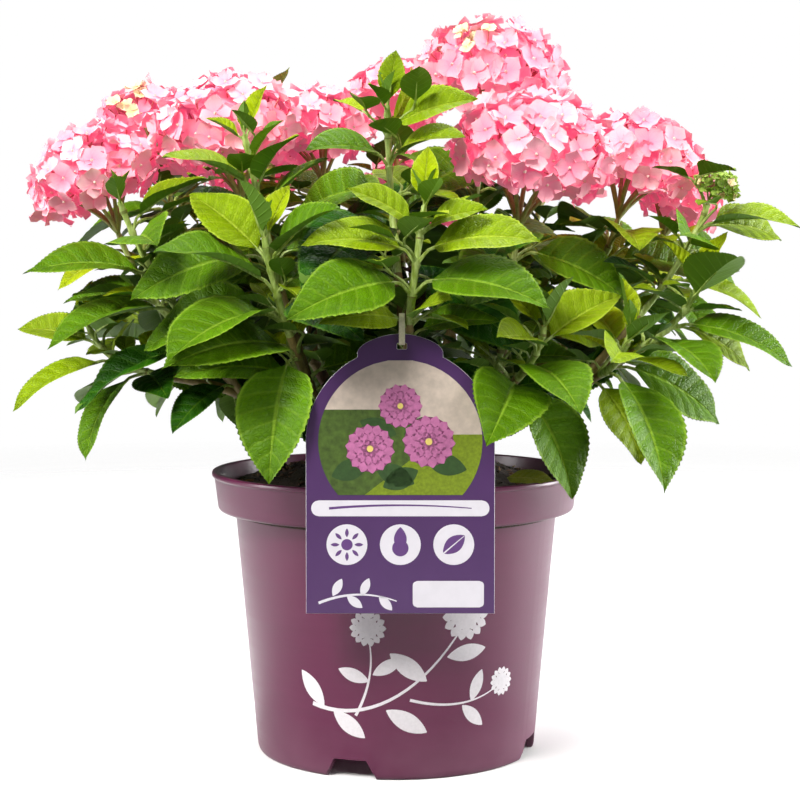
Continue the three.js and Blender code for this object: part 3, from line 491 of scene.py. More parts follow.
def finished(name, mesh, materials, nodes):
    """An object for a mesh, with its materials, riding on the frame's body in place of the CAD nodes."""
    for material in materials:
        mesh.materials.append(material)
    piece = linked(name, mesh)
    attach(piece, "root")
    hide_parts(*nodes)
    return piece


# ---- rooms that grown things keep clear


class Room:
    """A closed form that leaves must clear, with its box and the mass that it belongs to."""

    def __init__(self, points, faces, mass=""):
        self.points = points
        self.faces = faces
        self.mass = mass
        self.low = points.min(axis=0)
        self.high = points.max(axis=0)
        self.built = None

    @property
    def tree(self):
        """The form's surface, sorted for quick tests. It is made when first asked for."""
        if self.built is None:
            self.built = BVHTree.FromPolygons(self.points.tolist(), self.faces)
        return self.built

    def holds(self, point):
        """Whether a point is inside: a line straight up from it leaves the form an odd number of times."""
        crossings = 0
        start = [float(part) for part in point]
        while crossings < 20:
            found = self.tree.ray_cast(start, (0.0, 0.0, 1.0))[0]
            if found is None:
                break
            crossings += 1
            start[2] = found[2] + 0.001
        return crossings % 2 == 1

    def meets(self, other):
        """Whether two forms share any space."""
        if (self.low > other.high).any() or (other.low > self.high).any():
            return False
        if self.tree.overlap(other.tree):
            return True
        return other.holds(self.points[0]) or self.holds(other.points[0])


def closed_room(points, rows, sides, mass):
    """The room of a tube or a form that closes round an axis."""
    quads, ends = closed_faces(rows, sides)
    return Room(points, quads.tolist() + ends.tolist(), mass)


def tube_room(centres, radii, sides, mass):
    """The room of a limb."""
    return closed_room(tube_points(centres, radii, sides), len(centres), sides, mass)


def blade_room(leaf, mass):
    """The room of a blade: a folded slab of even thickness, with spare all round."""
    spare = LEAF["room"]
    shares = np.array((0.0, *LEAF["rows"], 1.0))
    middle, normal = midrib(leaf, shares)
    half = leaf.length * LEAF["width_share"] * blade_outline(shares) + spare
    across = np.cross(leaf.ahead, leaf.upper)
    fold = math.radians(leaf.fold)
    sides = np.array((-1, 0, 1, 1, 0, -1))
    faces_up = np.array((1, 1, 1, -1, -1, -1))
    out = sides[None, :, None] * (half * math.cos(fold))[:, None, None] * across
    lift = np.abs(sides)[None] * (half * math.sin(fold))[:, None] + faces_up[None] * spare
    points = (middle[:, None] + out + lift[..., None] * normal[:, None]).reshape(-1, 3)
    last = 6 * (len(shares) - 1)
    faces = grid_quads(len(shares), 6, closed=True).tolist()
    for a, b, c in ((0, 1, 5), (1, 4, 5), (1, 2, 4), (2, 3, 4)):
        faces += [[a, b, c], [last + a, last + c, last + b]]
    return Room(points, faces, mass)


def stalk_room(leaf, mass):
    """The room of a leaf's stalk, which runs on a little under its blade."""
    radius = LEAF["stalk_radius"] + 0.5
    under = midrib(leaf, np.array(LEAF["stalk_sunk"]))[0]
    return tube_room(
        np.array((leaf.node, leaf.base, under)), radius * np.array((1.15, 1.0, 0.55)), 3, mass
    )


def ball_points(centre, size, rings, sides):
    """Points of a ball drawn out along Z: rings of latitude, then its lowest and highest point."""
    low = (np.pi * (np.arange(1, rings) / rings) - np.pi / 2)[:, None]
    points = carried_round(np.cos(low), np.sin(low), around(sides)).reshape(-1, 3)
    return np.vstack((points, (0, 0, -1), (0, 0, 1))) * size + centre


def ball_room(centre, size, rings, sides, mass, turned=np.eye(3)):
    """The room of a ball, drawn out and turned about its centre."""
    points = ball_points(0.0, size, rings, sides) @ turned.T + centre
    return closed_room(points, rings - 1, sides, mass)


def bloom_room(shoot, mass):
    """The room of a bloom: a plain low-sided dome just outside its florets."""
    size = shoot.head * 1.06 + 1
    tip = np.array(shoot.tip, float)
    return ball_room(tip, (size, size, size * HEAD["flatness"]), 8, 12, mass, tilt_to(head_axis(tip)))


def turned_room(outline, mass, sides=24):
    """The room of a form turned round Z, from its outline of (radius, height)."""
    outline = np.array(outline, float)
    points = carried_round(outline[:, :1], outline[:, 1:], around(sides)).reshape(-1, 3)
    return Room(points, grid_quads(len(outline), sides, closed=True).tolist(), mass)


def slab_room(outline, place, thickness, mass):
    """The room of a flat plate, from its outline, the function that places it, and its thickness."""
    corners = np.array(outline, float)
    count = len(corners)
    front = place(corners, thickness / 2)
    back = place(corners, -thickness / 2)
    flat = [[(x, y, 0.0) for x, y in corners]]
    triangles = [list(three) for three in tessellate_polygon(flat)]
    faces = triangles + [[corner + count for corner in three] for three in triangles]
    faces += [[k, (k + 1) % count, (k + 1) % count + count, k + count] for k in range(count)]
    return Room(np.vstack((front, back)), faces, mass)


# ---- the growth rule, as in the part's source


class Leaf(NamedTuple):
    """A placed leaf: its node on the shoot, the blade's root, its two directions, length and look."""

    node: np.ndarray
    base: np.ndarray
    ahead: np.ndarray
    upper: np.ndarray
    length: float
    droop: float
    fold: float
    age: int


class Wish(NamedTuple):
    """How a leaf would grow if nothing stood in its way."""

    node: np.ndarray
    tangent: np.ndarray
    azimuth: float
    lift: float
    roll: float
    length: float
    age: int
    hangs: bool = False


def look_of(age):
    """The Age that a number stands for: -2 is a side twig's leaf, -1 a bud's, and 0 up are the pairs'."""
    return {-2: TWIG_AGE, -1: BUD_AGE}.get(age) or AGES[age]


def blade_outline(share):
    """Half width of a blade at a share of its length, over its greatest: ovate, with a drawn-out tip."""
    peak = 0.2946
    return share**0.72 * np.clip(1 - share, 0, 1) ** 1.1 / peak


def midrib(leaf, share):
    """Points and normals of a blade's midrib: an arc that leaves along `ahead` and bends down by droop."""
    bend = math.radians(leaf.droop)
    turned = bend * np.asarray(share, float)[..., None]
    point = leaf.base + leaf.length / bend * (
        leaf.ahead * np.sin(turned) - leaf.upper * (1 - np.cos(turned))
    )
    return point, leaf.upper * np.cos(turned) + leaf.ahead * np.sin(turned)


def head_axis(tip):
    """The direction that a head faces: up, and a little outward from the pot's axis."""
    return unit(np.array((tip[0] * HEAD["tilt"], tip[1] * HEAD["tilt"], 1.0)))


def tilt_to(axis):
    """The matrix that turns straight up to an axis, the shortest way."""
    cross = np.cross(UP, axis)
    skew = np.array(((0, -cross[2], cross[1]), (cross[2], 0, -cross[0]), (-cross[1], cross[0], 0)))
    return np.eye(3) + skew + skew @ skew / (1 + axis[2])


def cane_line(cane):
    """A cane's line, upright out of the compost and then out to its fork."""
    foot = np.array((*cane.foot, COMPOST["top"] + SEAT))
    fork = np.array(cane.fork, float)
    rise = np.linalg.norm(fork - foot)
    return foot, foot + UP * rise * 0.3, mix(fork, foot, 0.35), fork


def neck_of(cane):
    """Where a mass begins, the knuckle that its shoots leave from, and the direction there."""
    point, tangent = bezier(cane_line(cane), 1.0)
    foot = point + tangent * SEAT
    return foot, foot + tangent * NECK["length"], tangent


def shoot_line(cane, shoot):
    """A shoot's line, from the knuckle to its tip, or to the foot of its bloom's stalk."""
    _, knuckle, tangent = neck_of(cane)
    goal = np.array(shoot.tip, float)
    if shoot.head:
        goal = goal - head_axis(goal) * HEAD["stalk"] * shoot.head
    span = np.linalg.norm(goal - knuckle) * SHOOT["rise"]
    leave = unit(unit(goal - knuckle) + tangent * 0.3)
    bow = np.array(shoot.bow, float)
    return knuckle, knuckle + leave * span + bow, goal - head_axis(goal) * span + bow, goal


def pair_places(line, shoot):
    """Places of the leaf pairs on a shoot: youngest first, each gap a little longer than the one above."""
    points = bezier(line, np.linspace(0, 1, 201))[0]
    length = np.linalg.norm(np.diff(points, axis=0), axis=1).sum()
    places = []
    down = LEAF["first_pair"]
    for pair in range(shoot.pairs):
        if down >= length - 8:
            break
        places.append(1 - down / length)
        down += LEAF["first_gap"] + LEAF["gap_growth"] * pair
    return places, length


def leaf_from(node, tangent, azimuth, lift, roll, length, age, stem=SHOOT["radius"]):
    """A leaf from the heading of its blade. roll: turn of the blade about its own length."""
    look = look_of(age)
    level = heading(azimuth)
    ahead = level * math.cos(lift) + UP * math.sin(lift)
    upper = -level * math.sin(lift) + UP * math.cos(lift)
    upper = upper * math.cos(roll) + np.cross(ahead, upper) * math.sin(roll)
    out = unit(ahead * 0.8 + tangent * 0.5)
    base = node + out * (length * LEAF["stalk_share"] + stem)
    return Leaf(node, base, ahead, upper, length, look.droop, look.fold, age)


def aimed_at(goal, node, tangent, age):
    """Azimuth, lift and length that bring the tip of a leaf from this node to a chosen place."""

    def polar(point):
        away = point - node
        level = math.hypot(away[0], away[1])
        return azimuth_of(away), math.atan2(away[2], level), float(np.linalg.norm(away))

    azimuth, rise, reach = polar(np.array(goal, float))
    turn, lift, length = azimuth, rise, reach * 0.8
    for _ in range(5):
        leaf = leaf_from(node, tangent, turn, lift, facing_roll(node, turn), length, age)
        turned, lifted, far = polar(midrib(leaf, 1.0)[0])
        over = azimuth - turned
        turn += math.atan2(math.sin(over), math.cos(over))
        lift += rise - lifted
        length *= reach / far
    return turn, lift, length


def facing_roll(node, azimuth):
    """How far a blade turns about its own length to face away from a line behind the pot's axis, in
    radians: most where it grows sideways, and less near that line."""
    x, y = node[0], node[1] - LEAF["facing_from"]
    reach = max(math.hypot(x, y), 1.0)
    aside = (y * math.cos(azimuth) - x * math.sin(azimuth)) / reach
    return -math.radians(LEAF["facing"]) * aside * min(reach / LEAF["facing_reach"], 1.0)


def leaf_wishes(cane, shoot, draw):
    """The wish of each leaf of a shoot: where its node is, how it is headed and how long it is."""
    line = shoot_line(cane, shoot)
    wishes = []
    for pair, place in enumerate(pair_places(line, shoot)[0]):
        node, tangent = bezier(line, place)
        age = min(pair + (FLOWERING_AGE if shoot.head else 0), len(AGES) - 1)
        look = AGES[age]
        for way in (0, 1):
            chance = [draw() for _ in range(4)]
            turn = math.radians(shoot.turn + 90 * pair + 180 * way + 22 * (chance[0] - 0.5))
            azimuth = azimuth_of(heading(turn) + tangent * LEAF["outward"])
            lift = math.radians(look.lift + 14 * (chance[1] - 0.5))
            length = shoot.leaf * look.size * (0.92 + 0.16 * chance[3])
            for aim in shoot.aims:
                if aim[:2] == (pair, way):
                    azimuth, lift, length = aimed_at(aim[2], node, tangent, age)
            roll = facing_roll(node, azimuth) + math.radians(16 * (chance[2] - 0.5))
            hangs = shoot.hanger == pair and way == 1
            wishes.append(Wish(node, tangent, azimuth, lift, roll, length, age, hangs))
    return wishes


def hanging_wish():
    """The wish of the leaf whose stalk the label hangs from."""
    for i, cane in enumerate(CANES):
        draw = seeded(SEED + i)
        for shoot in cane.shoots:
            for wish in leaf_wishes(cane, shoot, draw):
                if wish.hangs:
                    return wish
    raise RuntimeError("no leaf bears the label")


class Growth:
    """The grown shrub: the rooms that are taken, and all leaves and side twigs that found room."""

    def __init__(self):
        self.taken = []
        self.leaves = []
        self.twigs = []
        self.chance = np.random.default_rng(SEED)
        self.low, self.high = np.array(CAD_BOX) / MM
        self.take_hard_things()
        wishes = []
        for i, cane in enumerate(CANES):
            draw = seeded(SEED + i)
            wishes += [(cane, shoot, leaf_wishes(cane, shoot, draw)) for shoot in cane.shoots]
        hanging = next(wish for _, _, own in wishes for wish in own if wish.hangs)
        self.taken += label_rooms(hanging)
        for cane, _, own in wishes:
            self.leaves += [leaf for leaf in (self.grow(wish, cane.name) for wish in own) if leaf]
        for cane, shoot, own in wishes:
            if not shoot.head:
                self.grow_tip(cane, shoot)
            self.grow_side_twigs(cane, own)
        for cane, shoot, _ in wishes:
            self.grow_inner(cane, shoot)

    def take_hard_things(self):
        """The rooms of the pot, the stub, the canes, the shoots and the blooms."""
        spare = 1
        outline = (
            (0, 0),
            (POT["foot_radius"] + spare, 0),
            (POT["body_top_radius"] + spare, POT["collar_foot"]),
            (POT["rim_radius"] + spare, POT["collar_foot"] - spare),
            (POT["rim_radius"] + spare, POT["height"] + spare),
            (COMPOST["top_radius"], COMPOST["top"] + spare),
            (0, COMPOST["top"] + spare),
        )
        self.taken.append(turned_room(outline, "pot"))
        centres, radii = stub_path(3)
        self.taken.append(tube_room(centres, radii + 0.6, 6, "stub"))
        share = np.linspace(0, 1, 6)
        for cane in CANES:
            centres = bezier(cane_line(cane), share)[0]
            radii = mix(CANE["radius"], CANE["fork_radius"], share) + 0.5
            self.taken.append(tube_room(centres, radii, 7, "cane"))
            foot, knuckle, _ = neck_of(cane)
            neck = np.array((foot, knuckle))
            self.taken.append(tube_room(neck, np.full(2, NECK["radius"]), 5, cane.name))
            self.taken.append(ball_room(knuckle, NECK["knuckle"], 5, 7, cane.name))
            for shoot in cane.shoots:
                centres = bezier(shoot_line(cane, shoot), share)[0]
                radii = mix(SHOOT["radius"], SHOOT["tip_radius"], share) + 0.5
                self.taken.append(tube_room(centres, radii, 3, cane.name))
                if shoot.head:
                    self.taken.append(bloom_room(shoot, cane.name))

    def inside(self, leaf):
        """Whether a leaf's tip is inside the solids' box."""
        tip = midrib(leaf, 1.0)[0]
        return (tip < self.high).all() and (tip > self.low).all()

    def clear(self, blade, stalk, mass):
        """Whether a leaf's rooms meet nothing taken. Its stalk may touch its own mass."""
        return not any(
            blade.meets(other) or (other.mass != mass and stalk.meets(other)) for other in self.taken
        )

    def grow(self, wish, mass, tries=TRIES, stem=SHOOT["radius"]):
        """A leaf, tried in turn until it clears what is there, or None."""
        for turn, lift, share in ((0, 0, 1.0),) if wish.hangs else tries:
            azimuth = wish.azimuth + math.radians(turn)
            lift = wish.lift + math.radians(lift)
            length = wish.length * share
            leaf = leaf_from(wish.node, wish.tangent, azimuth, lift, wish.roll, length, wish.age, stem)
            blade, stalk = blade_room(leaf, mass), stalk_room(leaf, mass)
            if wish.hangs or self.clear(blade, stalk, mass):
                self.taken += [blade, stalk]
                return leaf
        return None

    def grow_tip(self, cane, shoot):
        """The two smallest pairs, which stand nearly upright round the very tip of a leafy shoot."""
        tip, tangent = bezier(shoot_line(cane, shoot), 1.0)
        for size, turn in ((0.24, 90), (0.14, 0)):
            for way in (0, 1):
                azimuth = math.radians(shoot.turn + turn + 180 * way + self.chance.uniform(-14, 14))
                lift = math.radians(BUD_AGE.lift + self.chance.uniform(-8, 8))
                leaf = leaf_from(tip, tangent, azimuth, lift, 0.0, shoot.leaf * size, -1, 0.3)
                if self.inside(leaf):
                    self.leaves.append(leaf)

    def grow_inner(self, cane, shoot):
        """Older leaves where there is room, from below a shoot's last pair or bloom down to the knuckle."""
        line = shoot_line(cane, shoot)
        places, length = pair_places(line, shoot)
        down = (1 - places[-1]) * length + 8 if places and not shoot.head else 10.0
        turn = self.chance.uniform(0, 360)
        while down < length - 4:
            node, tangent = bezier(line, 1 - down / length)
            turn += 90
            for way in (0,) if cane.name in OPEN_SIDES else (0, 120, 240):
                azimuth = math.radians(turn + way + self.chance.uniform(-20, 20))
                lift = math.radians(self.chance.uniform(-26, 30))
                size = shoot.leaf * self.chance.uniform(0.6, 0.9)
                roll = facing_roll(node, azimuth) * 0.6
                leaf = self.grow(Wish(node, tangent, azimuth, lift, roll, size, 5), cane.name)
                if leaf and self.inside(leaf):
                    self.leaves.append(leaf)
            down += 9

    def grow_side_twigs(self, cane, wishes):
        """Small twigs from above the leaf stalks, each with one or two pairs of small leaves at its end."""
        draw = self.chance.uniform
        for wish in wishes:
            if wish.age < 1 or self.chance.random() > sizes().side_twigs:
                continue
            lift = math.radians(draw(30, 62))
            azimuth = wish.azimuth + math.radians(draw(-30, 30))
            way = heading(azimuth) * math.cos(lift) + UP * math.sin(lift)
            length = draw(9, 24)
            tip = wish.node + way * length
            bend = wish.node + unit(wish.tangent + way) * length * 0.5
            grown = []
            for pair in range(2):
                node = mix(wish.node, tip, 1.0 - 0.45 * pair)
                for side in (90, -90):
                    turn = azimuth + math.radians(side + 90 * pair + draw(-20, 20))
                    turn = azimuth_of(heading(turn) + way * 0.8)
                    lift, roll = math.radians(draw(12, 50)), math.radians(draw(-15, 15))
                    small = Wish(node, way, turn, lift, roll, draw(20, 34) * (1 + 0.3 * pair), -2)
                    leaf = self.grow(small, cane.name, TRIES[:7], 0.8)
                    if leaf and self.inside(leaf):
                        grown.append(leaf)
            if grown:
                self.leaves += grown
                self.twigs.append((wish.node, bend, tip))


# ---- places of the stub, the label and its strap


def compost_height(radius):
    """Height of the compost's plain surface at a distance from the pot's axis."""
    radii = (0.0, COMPOST["top_radius"], COMPOST["shoulder_radius"], 108.5)
    heights = (COMPOST["top"], COMPOST["top"], COMPOST["shoulder"], COMPOST["edge"])
    return np.interp(radius, radii, heights)


def stub_path(rings):
    """Centres and radii of the dead stub: a quadratic curve through its foot, bend and tip."""
    x, y = STUB["foot"]
    foot = np.array((x, y, compost_height(math.hypot(x, y)) + 1.2))
    tip = np.array(STUB["tip"])
    middle = mix(foot, tip, 0.5) + np.array(STUB["bend"])
    share = np.linspace(0, 1, rings)
    t = share[:, None]
    centres = foot * (1 - t) * (1 - 2 * t) + middle * 4 * t * (1 - t) + tip * t * (2 * t - 1)
    return centres, mix(STUB["radius"], STUB["tip_radius"], share)


def card_outline(more=0.0, steps=16):
    """The card's outline round the centre of its round part, x across and y up."""
    half = LABEL["width"] / 2 + more
    square = LABEL["square_height"] + more
    tab = LABEL["tab_width"] / 2 + more
    top = LABEL["tab_height"] + more
    shoulder = LABEL["tab_shoulder"]
    side = math.acos(tab / half)

    def arc(start, end):
        turn = np.linspace(start, end, steps)
        return np.stack((np.cos(turn), np.sin(turn)), axis=1) * half

    def sweep(start, pull, end):
        t = np.linspace(0, 1, 8)[1:, None]
        return swept(*map(np.array, (start, pull, end)), t)

    return np.vstack(
        (
            ((-half, -square), (half, -square)), arc(0, side), ((tab, shoulder),),
            sweep((tab, shoulder), (tab - 1, shoulder + 5), (tab / 2, top - 2)),
            sweep((tab / 2, top - 2), (0, top + 2), (-tab / 2, top - 2)),
            sweep((-tab / 2, top - 2), (1 - tab, shoulder + 5), (-tab, shoulder)),
            arc(np.pi - side, np.pi),
        )
    )


def strap_line(wish):
    """The leaf stalk's point that the strap hangs from, and the middle of the bar over the card's slot."""
    leaf = leaf_from(wish.node, wish.tangent, wish.azimuth, wish.lift, 0.0, wish.length, wish.age)
    share = STRAP["along"] / np.linalg.norm(leaf.base - wish.node)
    hook = mix(wish.node, leaf.base, share)
    return hook, hook - UP * STRAP["drop"]


def bar_height():
    """Half the height of the card's bar over its slot."""
    return (LABEL["slot_drop"] - LABEL["slot_height"] / 2) / 2


def strap_outline(wish, more, steps=6):
    """The strap's loop as (y, z): half round the leaf stalk, and half round the card's bar."""
    hook, bar = strap_line(wish)
    across = STRAP["hook_radius"] + more
    rounds = []
    for centre, radius, start in ((hook, across, 0.0), (bar, bar_height() + 0.5 + more, np.pi)):
        turn = start + np.linspace(0, np.pi, steps + 1)
        rounds.append(
            np.stack((centre[1] + min(radius, across) * np.cos(turn), centre[2] + radius * np.sin(turn)), 1)
        )
    return np.vstack(rounds)


def card_place(wish):
    """The function that puts a point of the card, (x, y) and a height over its middle, in its place."""
    bar = strap_line(wish)[1]
    turn = math.pi / 2 - math.radians(LABEL["lean"])

    def place(flat, height):
        flat = np.asarray(flat, float)
        x, y = flat[..., 0], flat[..., 1] - LABEL["tab_height"] + bar_height()
        z = np.broadcast_to(height, x.shape)
        return np.stack(
            (
                x + bar[0] - LABEL["tuck"], y * math.cos(turn) - z * math.sin(turn) + bar[1],
                y * math.sin(turn) + z * math.cos(turn) + bar[2],
            ),
            axis=-1,
        )

    return place


def label_rooms(wish):
    """The rooms of the card and of its strap."""
    hook = strap_line(wish)[0]

    def place(flat, x):
        return np.stack((np.full(len(flat), hook[0] + x), flat[:, 0], flat[:, 1]), axis=1)

    strap = strap_outline(wish, STRAP["thickness"] + 0.5)
    return [
        slab_room(card_outline(0.7), card_place(wish), LABEL["thickness"] + 1.4, "label"),
        slab_room(strap, place, STRAP["width"] + 1, "strap"),
    ]


# ---- finishes


class Value:
    """A number or colour that changes over a surface. Its operators add Math nodes for numbers."""

    def __init__(self, finish, socket):
        self.finish = finish
        self.socket = socket

    def _maths(self, operation, *others, clamp=False):
        settings = {"operation": operation, "use_clamp": clamp}
        return self.finish.node("ShaderNodeMath", settings, dict(enumerate(others)))

    def __add__(self, other):
        return self._maths("ADD", self, other)

    __radd__ = __add__

    def __sub__(self, other):
        return self._maths("SUBTRACT", self, other)

    def __rsub__(self, other):
        return self._maths("SUBTRACT", other, self)

    def __mul__(self, other):
        return self._maths("MULTIPLY", self, other)

    __rmul__ = __mul__

    def __truediv__(self, other):
        return self._maths("DIVIDE", self, other)

    def __pow__(self, other):
        return self._maths("POWER", self, other)

    def __abs__(self):
        return self._maths("ABSOLUTE", self)

    def fraction(self):
        """What is left of the number over its whole part."""
        return self._maths("FRACT", self)

    def clamped(self):
        """The number kept from 0 to 1."""
        return self._maths("ADD", self, 0.0, clamp=True)

    def falling(self, start, end):
        """1 below start, 0 past end, and even in between."""
        return ((end - self) / (end - start)).clamped()

    def rising(self, start, end):
        """0 below start, 1 past end, and even in between."""
        return ((self - start) / (end - start)).clamped()


class Finish:
    """A material with a Principled surface, built from values."""

    def __init__(self, name, **sockets):
        self.material = bpy.data.materials.new(name)
        self.material.use_nodes = True
        self.tree = self.material.node_tree
        self.surface = self.tree.nodes["Principled BSDF"]
        for socket, value in sockets.items():
            self.set(socket.replace("_", " "), value)

    def set(self, socket, value):
        """Sets one of the surface's sockets to a number or colour, or to what a value gives."""
        self.feed(self.surface.inputs[socket], value)

    def feed(self, target, value):
        """Gives a socket a number, a colour or a link."""
        if isinstance(value, Value):
            self.tree.links.new(value.socket, target)
        elif isinstance(value, tuple) and len(value) == 3 and target.type == "RGBA":
            target.default_value = (*value, 1.0)
        else:
            target.default_value = value

    def node(self, kind, settings=(), inputs=(), output=0):
        """A node of any kind. Its settings are set first, then its sockets are given numbers or links."""
        made = self.tree.nodes.new(kind)
        for name, value in dict(settings).items():
            setattr(made, name, value)
        for socket, value in dict(inputs).items():
            self.feed(made.inputs[socket], value)
        return Value(self, made.outputs[output])

    def place(self, scale=(1.0, 1.0, 1.0)):
        """Object coordinates in metres, stretched by scale."""
        return self.stretched(self.node("ShaderNodeTexCoord", output="Object"), scale)

    def stretched(self, vector, scale):
        """A vector times a scale for each axis."""
        return self.node("ShaderNodeMapping", {}, {"Vector": vector, "Scale": scale})

    def noise(self, size, detail=3.0, roughness=0.55, scale=(1.0, 1.0, 1.0)):
        """Cloudy noise from 0 to 1, with features of about `size` millimetres."""
        inputs = {
            "Vector": self.place(scale), "Scale": 1000.0 / size, "Detail": detail, "Roughness": roughness,
        }
        return self.node("ShaderNodeTexNoise", {}, inputs)

    def cells(self, size, scale=(1.0, 1.0, 1.0)):
        """Distance to the nearest of scattered points about `size` millimetres apart, over that size."""
        return self.node(
            "ShaderNodeTexVoronoi", {}, {"Vector": self.place(scale), "Scale": 1000.0 / size}
        )

    def own_map(self, name):
        """The piece's own UV map, as a vector."""
        return self.node("ShaderNodeUVMap", {"uv_map": name})

    def part(self, vector, index):
        """One coordinate of a vector."""
        return self.node("ShaderNodeSeparateXYZ", {}, {0: vector}, output=index)

    def blend(self, share, start, end, way="MIX"):
        """A colour from start to end by share."""
        settings = {"data_type": "RGBA", "blend_type": way}
        return self.node("ShaderNodeMix", settings, {0: share, 6: start, 7: end}, output=2)

    def shades(self, share, base, low, high):
        """The base colour times a number from low to high by share."""
        dark = tuple(part * low for part in base)
        light = tuple(min(part * high, 1.0) for part in base)
        return self.blend(share, dark, light)

    def bump(self, height, depth, strength=1.0):
        """A normal from a height of 0 to 1, for relief that is `depth` millimetres deep."""
        inputs = {"Height": height, "Distance": depth * MM, "Strength": strength}
        return self.node("ShaderNodeBump", {}, inputs)


VEINS = 8  # side veins on either half of a blade


def blade_maps(finish):
    """A blade's own map, the share across it from rib to margin, and that from a side vein to the middle of
    the field between two, from 0 to 1/2."""
    both = finish.own_map("blade")
    across = abs(finish.part(both, 0) - 0.5) * 2.0
    return both, across, abs((finish.part(both, 1) * VEINS + 0.5).fraction() - 0.5)


def leaf_finish(name, base, pale, gloss=0.42):
    """A leaf's upper side: glossy green, with pale veins in furrows, a pale margin, a quilted relief, and
    painted shade along its net of fine furrows.
    """
    finish = Finish(name)
    both, across, vein = blade_maps(finish)
    side_vein = vein.falling(0.03, 0.12) * (1.0 - across * 0.5)
    swell = vein.rising(0.0, 0.42)
    rib = across.falling(0.03, 0.075)
    margin = across.rising(0.9, 0.98)
    patch = finish.noise(22.0, 2.0)
    speck = finish.noise(3.5, 3.0)
    net = finish.node(
        "ShaderNodeTexVoronoi",
        {"voronoi_dimensions": "2D", "feature": "DISTANCE_TO_EDGE"},
        {"Vector": finish.stretched(both, (13.0, 34.0, 1.0)), "Scale": 1.0},
    )
    cell = net.rising(0.0, 0.22)
    colour = finish.shades((patch * 0.6 + speck * 0.4).rising(0.3, 0.7), base, 0.7, 1.25)
    # Darker along the net of fine furrows, which the relief below sinks: painted shade.
    colour = finish.blend((1.0 - cell) * 0.22, colour, tuple(part * 0.5 for part in base))
    colour = finish.blend(side_vein * 0.22, colour, pale)
    colour = finish.blend(rib * 0.55, colour, pale)
    colour = finish.blend(margin * 0.55, colour, pale)
    finish.set("Base Color", colour)
    finish.set("Roughness", gloss + speck * 0.14)
    relief = swell * 0.7 + cell * 0.22 - rib * 0.4
    finish.set("Normal", finish.bump(relief, 1.3, 0.9))
    finish.set("Specular IOR Level", 0.14)
    return finish.material


def under_finish(name, base):
    """A leaf's underside: paler and duller, with darker veins."""
    finish = Finish(name, Roughness=0.62)
    _, across, vein = blade_maps(finish)
    vein = vein.falling(0.03, 0.12)
    colour = finish.shades(finish.noise(9.0), base, 0.84, 1.12)
    colour = finish.blend(vein * 0.3, colour, tuple(min(part * 1.5, 1.0) for part in base))
    finish.set("Base Color", colour)
    finish.set("Normal", finish.bump(vein * (1.0 - across * 0.4), 0.4, 0.6))
    return finish.material


def stem_finish(name, base, streak, gloss=0.5):
    """A green or ripening stem: fine lengthwise streaks and scattered darker specks."""
    finish = Finish(name, Roughness=gloss)
    streaks = finish.noise(2.2, 3.0, 0.6, (1.0, 1.0, 0.22))
    specks = finish.cells(2.6).falling(0.12, 0.3)
    colour = finish.blend(streaks.rising(0.35, 0.75), base, streak)
    colour = finish.blend(specks * 0.35, colour, tuple(part * 0.35 for part in streak))
    finish.set("Base Color", colour)
    finish.set("Normal", finish.bump(streaks, 0.35, 0.7))
    return finish.material


def bark_finish(name, base, dark, depth=0.6):
    """Papery bark: long fibres, darker furrows and pale flakes."""
    finish = Finish(name)
    fibres = finish.noise(2.4, 5.0, 0.65, (1.0, 1.0, 0.16))
    flakes = finish.noise(7.0, 3.0, 0.6, (1.0, 1.0, 0.45))
    colour = finish.blend(fibres.rising(0.38, 0.68), dark, base)
    pale = tuple(min(part * 1.9, 1.0) for part in base)
    colour = finish.blend(flakes.rising(0.56, 0.66) * 0.5, colour, pale)
    finish.set("Base Color", colour)
    finish.set("Roughness", 0.95 - flakes * 0.2)
    finish.set("Normal", finish.bump(fibres * 0.7 + flakes * 0.3, depth))
    return finish.material


def sepal_finish(name, edge, heart, painted_glow=0.0):
    """A sepal: deeper at its claw, paler at its edge, with fine veins that fan out. painted_glow: strength
    of a
    rosy painted glow: an emission in place of the light that falls on the blossom and comes through its
    thin sepals."""
    finish = Finish(name, Roughness=0.6)
    both = finish.own_map("sepal")
    fan_veins = finish.node(
        "ShaderNodeTexNoise",
        {"noise_dimensions": "2D"},
        {"Vector": finish.stretched(both, (14.0, 1.2, 1.0)), "Scale": 1.0, "Detail": 2.0},
    )
    mottle = finish.noise(5.0, 2.0)
    depth = finish.part(both, 1).rising(0.02, 0.85) ** 0.7
    colour = finish.blend(depth, heart, edge)
    colour = finish.blend(fan_veins.rising(0.45, 0.8) * 0.25, colour, heart)
    colour = finish.blend(mottle.rising(0.4, 0.75) * 0.14, colour, heart)
    finish.set("Base Color", colour)
    finish.set("Normal", finish.bump(fan_veins, 0.25, 0.5))
    finish.set("Specular IOR Level", 0.25)
    # Painted glow: a rosy emission in place of light that comes through the thin sepal.
    finish.set("Emission Color", PAINTED_GLOW_COLOUR)
    finish.set("Emission Strength", painted_glow)
    return finish.material


def plain_finish(name, base, roughness, spread=0.12, size=4.0, depth=0.0):
    """A small part's finish: its colour, a little lighter and darker in patches."""
    finish = Finish(name, Roughness=roughness)
    cloud = finish.noise(size, 3.0)
    finish.set("Base Color", finish.shades(cloud.rising(0.3, 0.7), base, 1 - spread, 1 + spread))
    if depth:
        finish.set("Normal", finish.bump(cloud, depth))
    return finish.material


# ---- leaves and twigs


# Points of the margin between two rows: share of the way on, and how far out, over the depth of a tooth.
TEETH = np.array(((0.36, 1.0), (0.5, -0.1), (0.86, 1.0)))


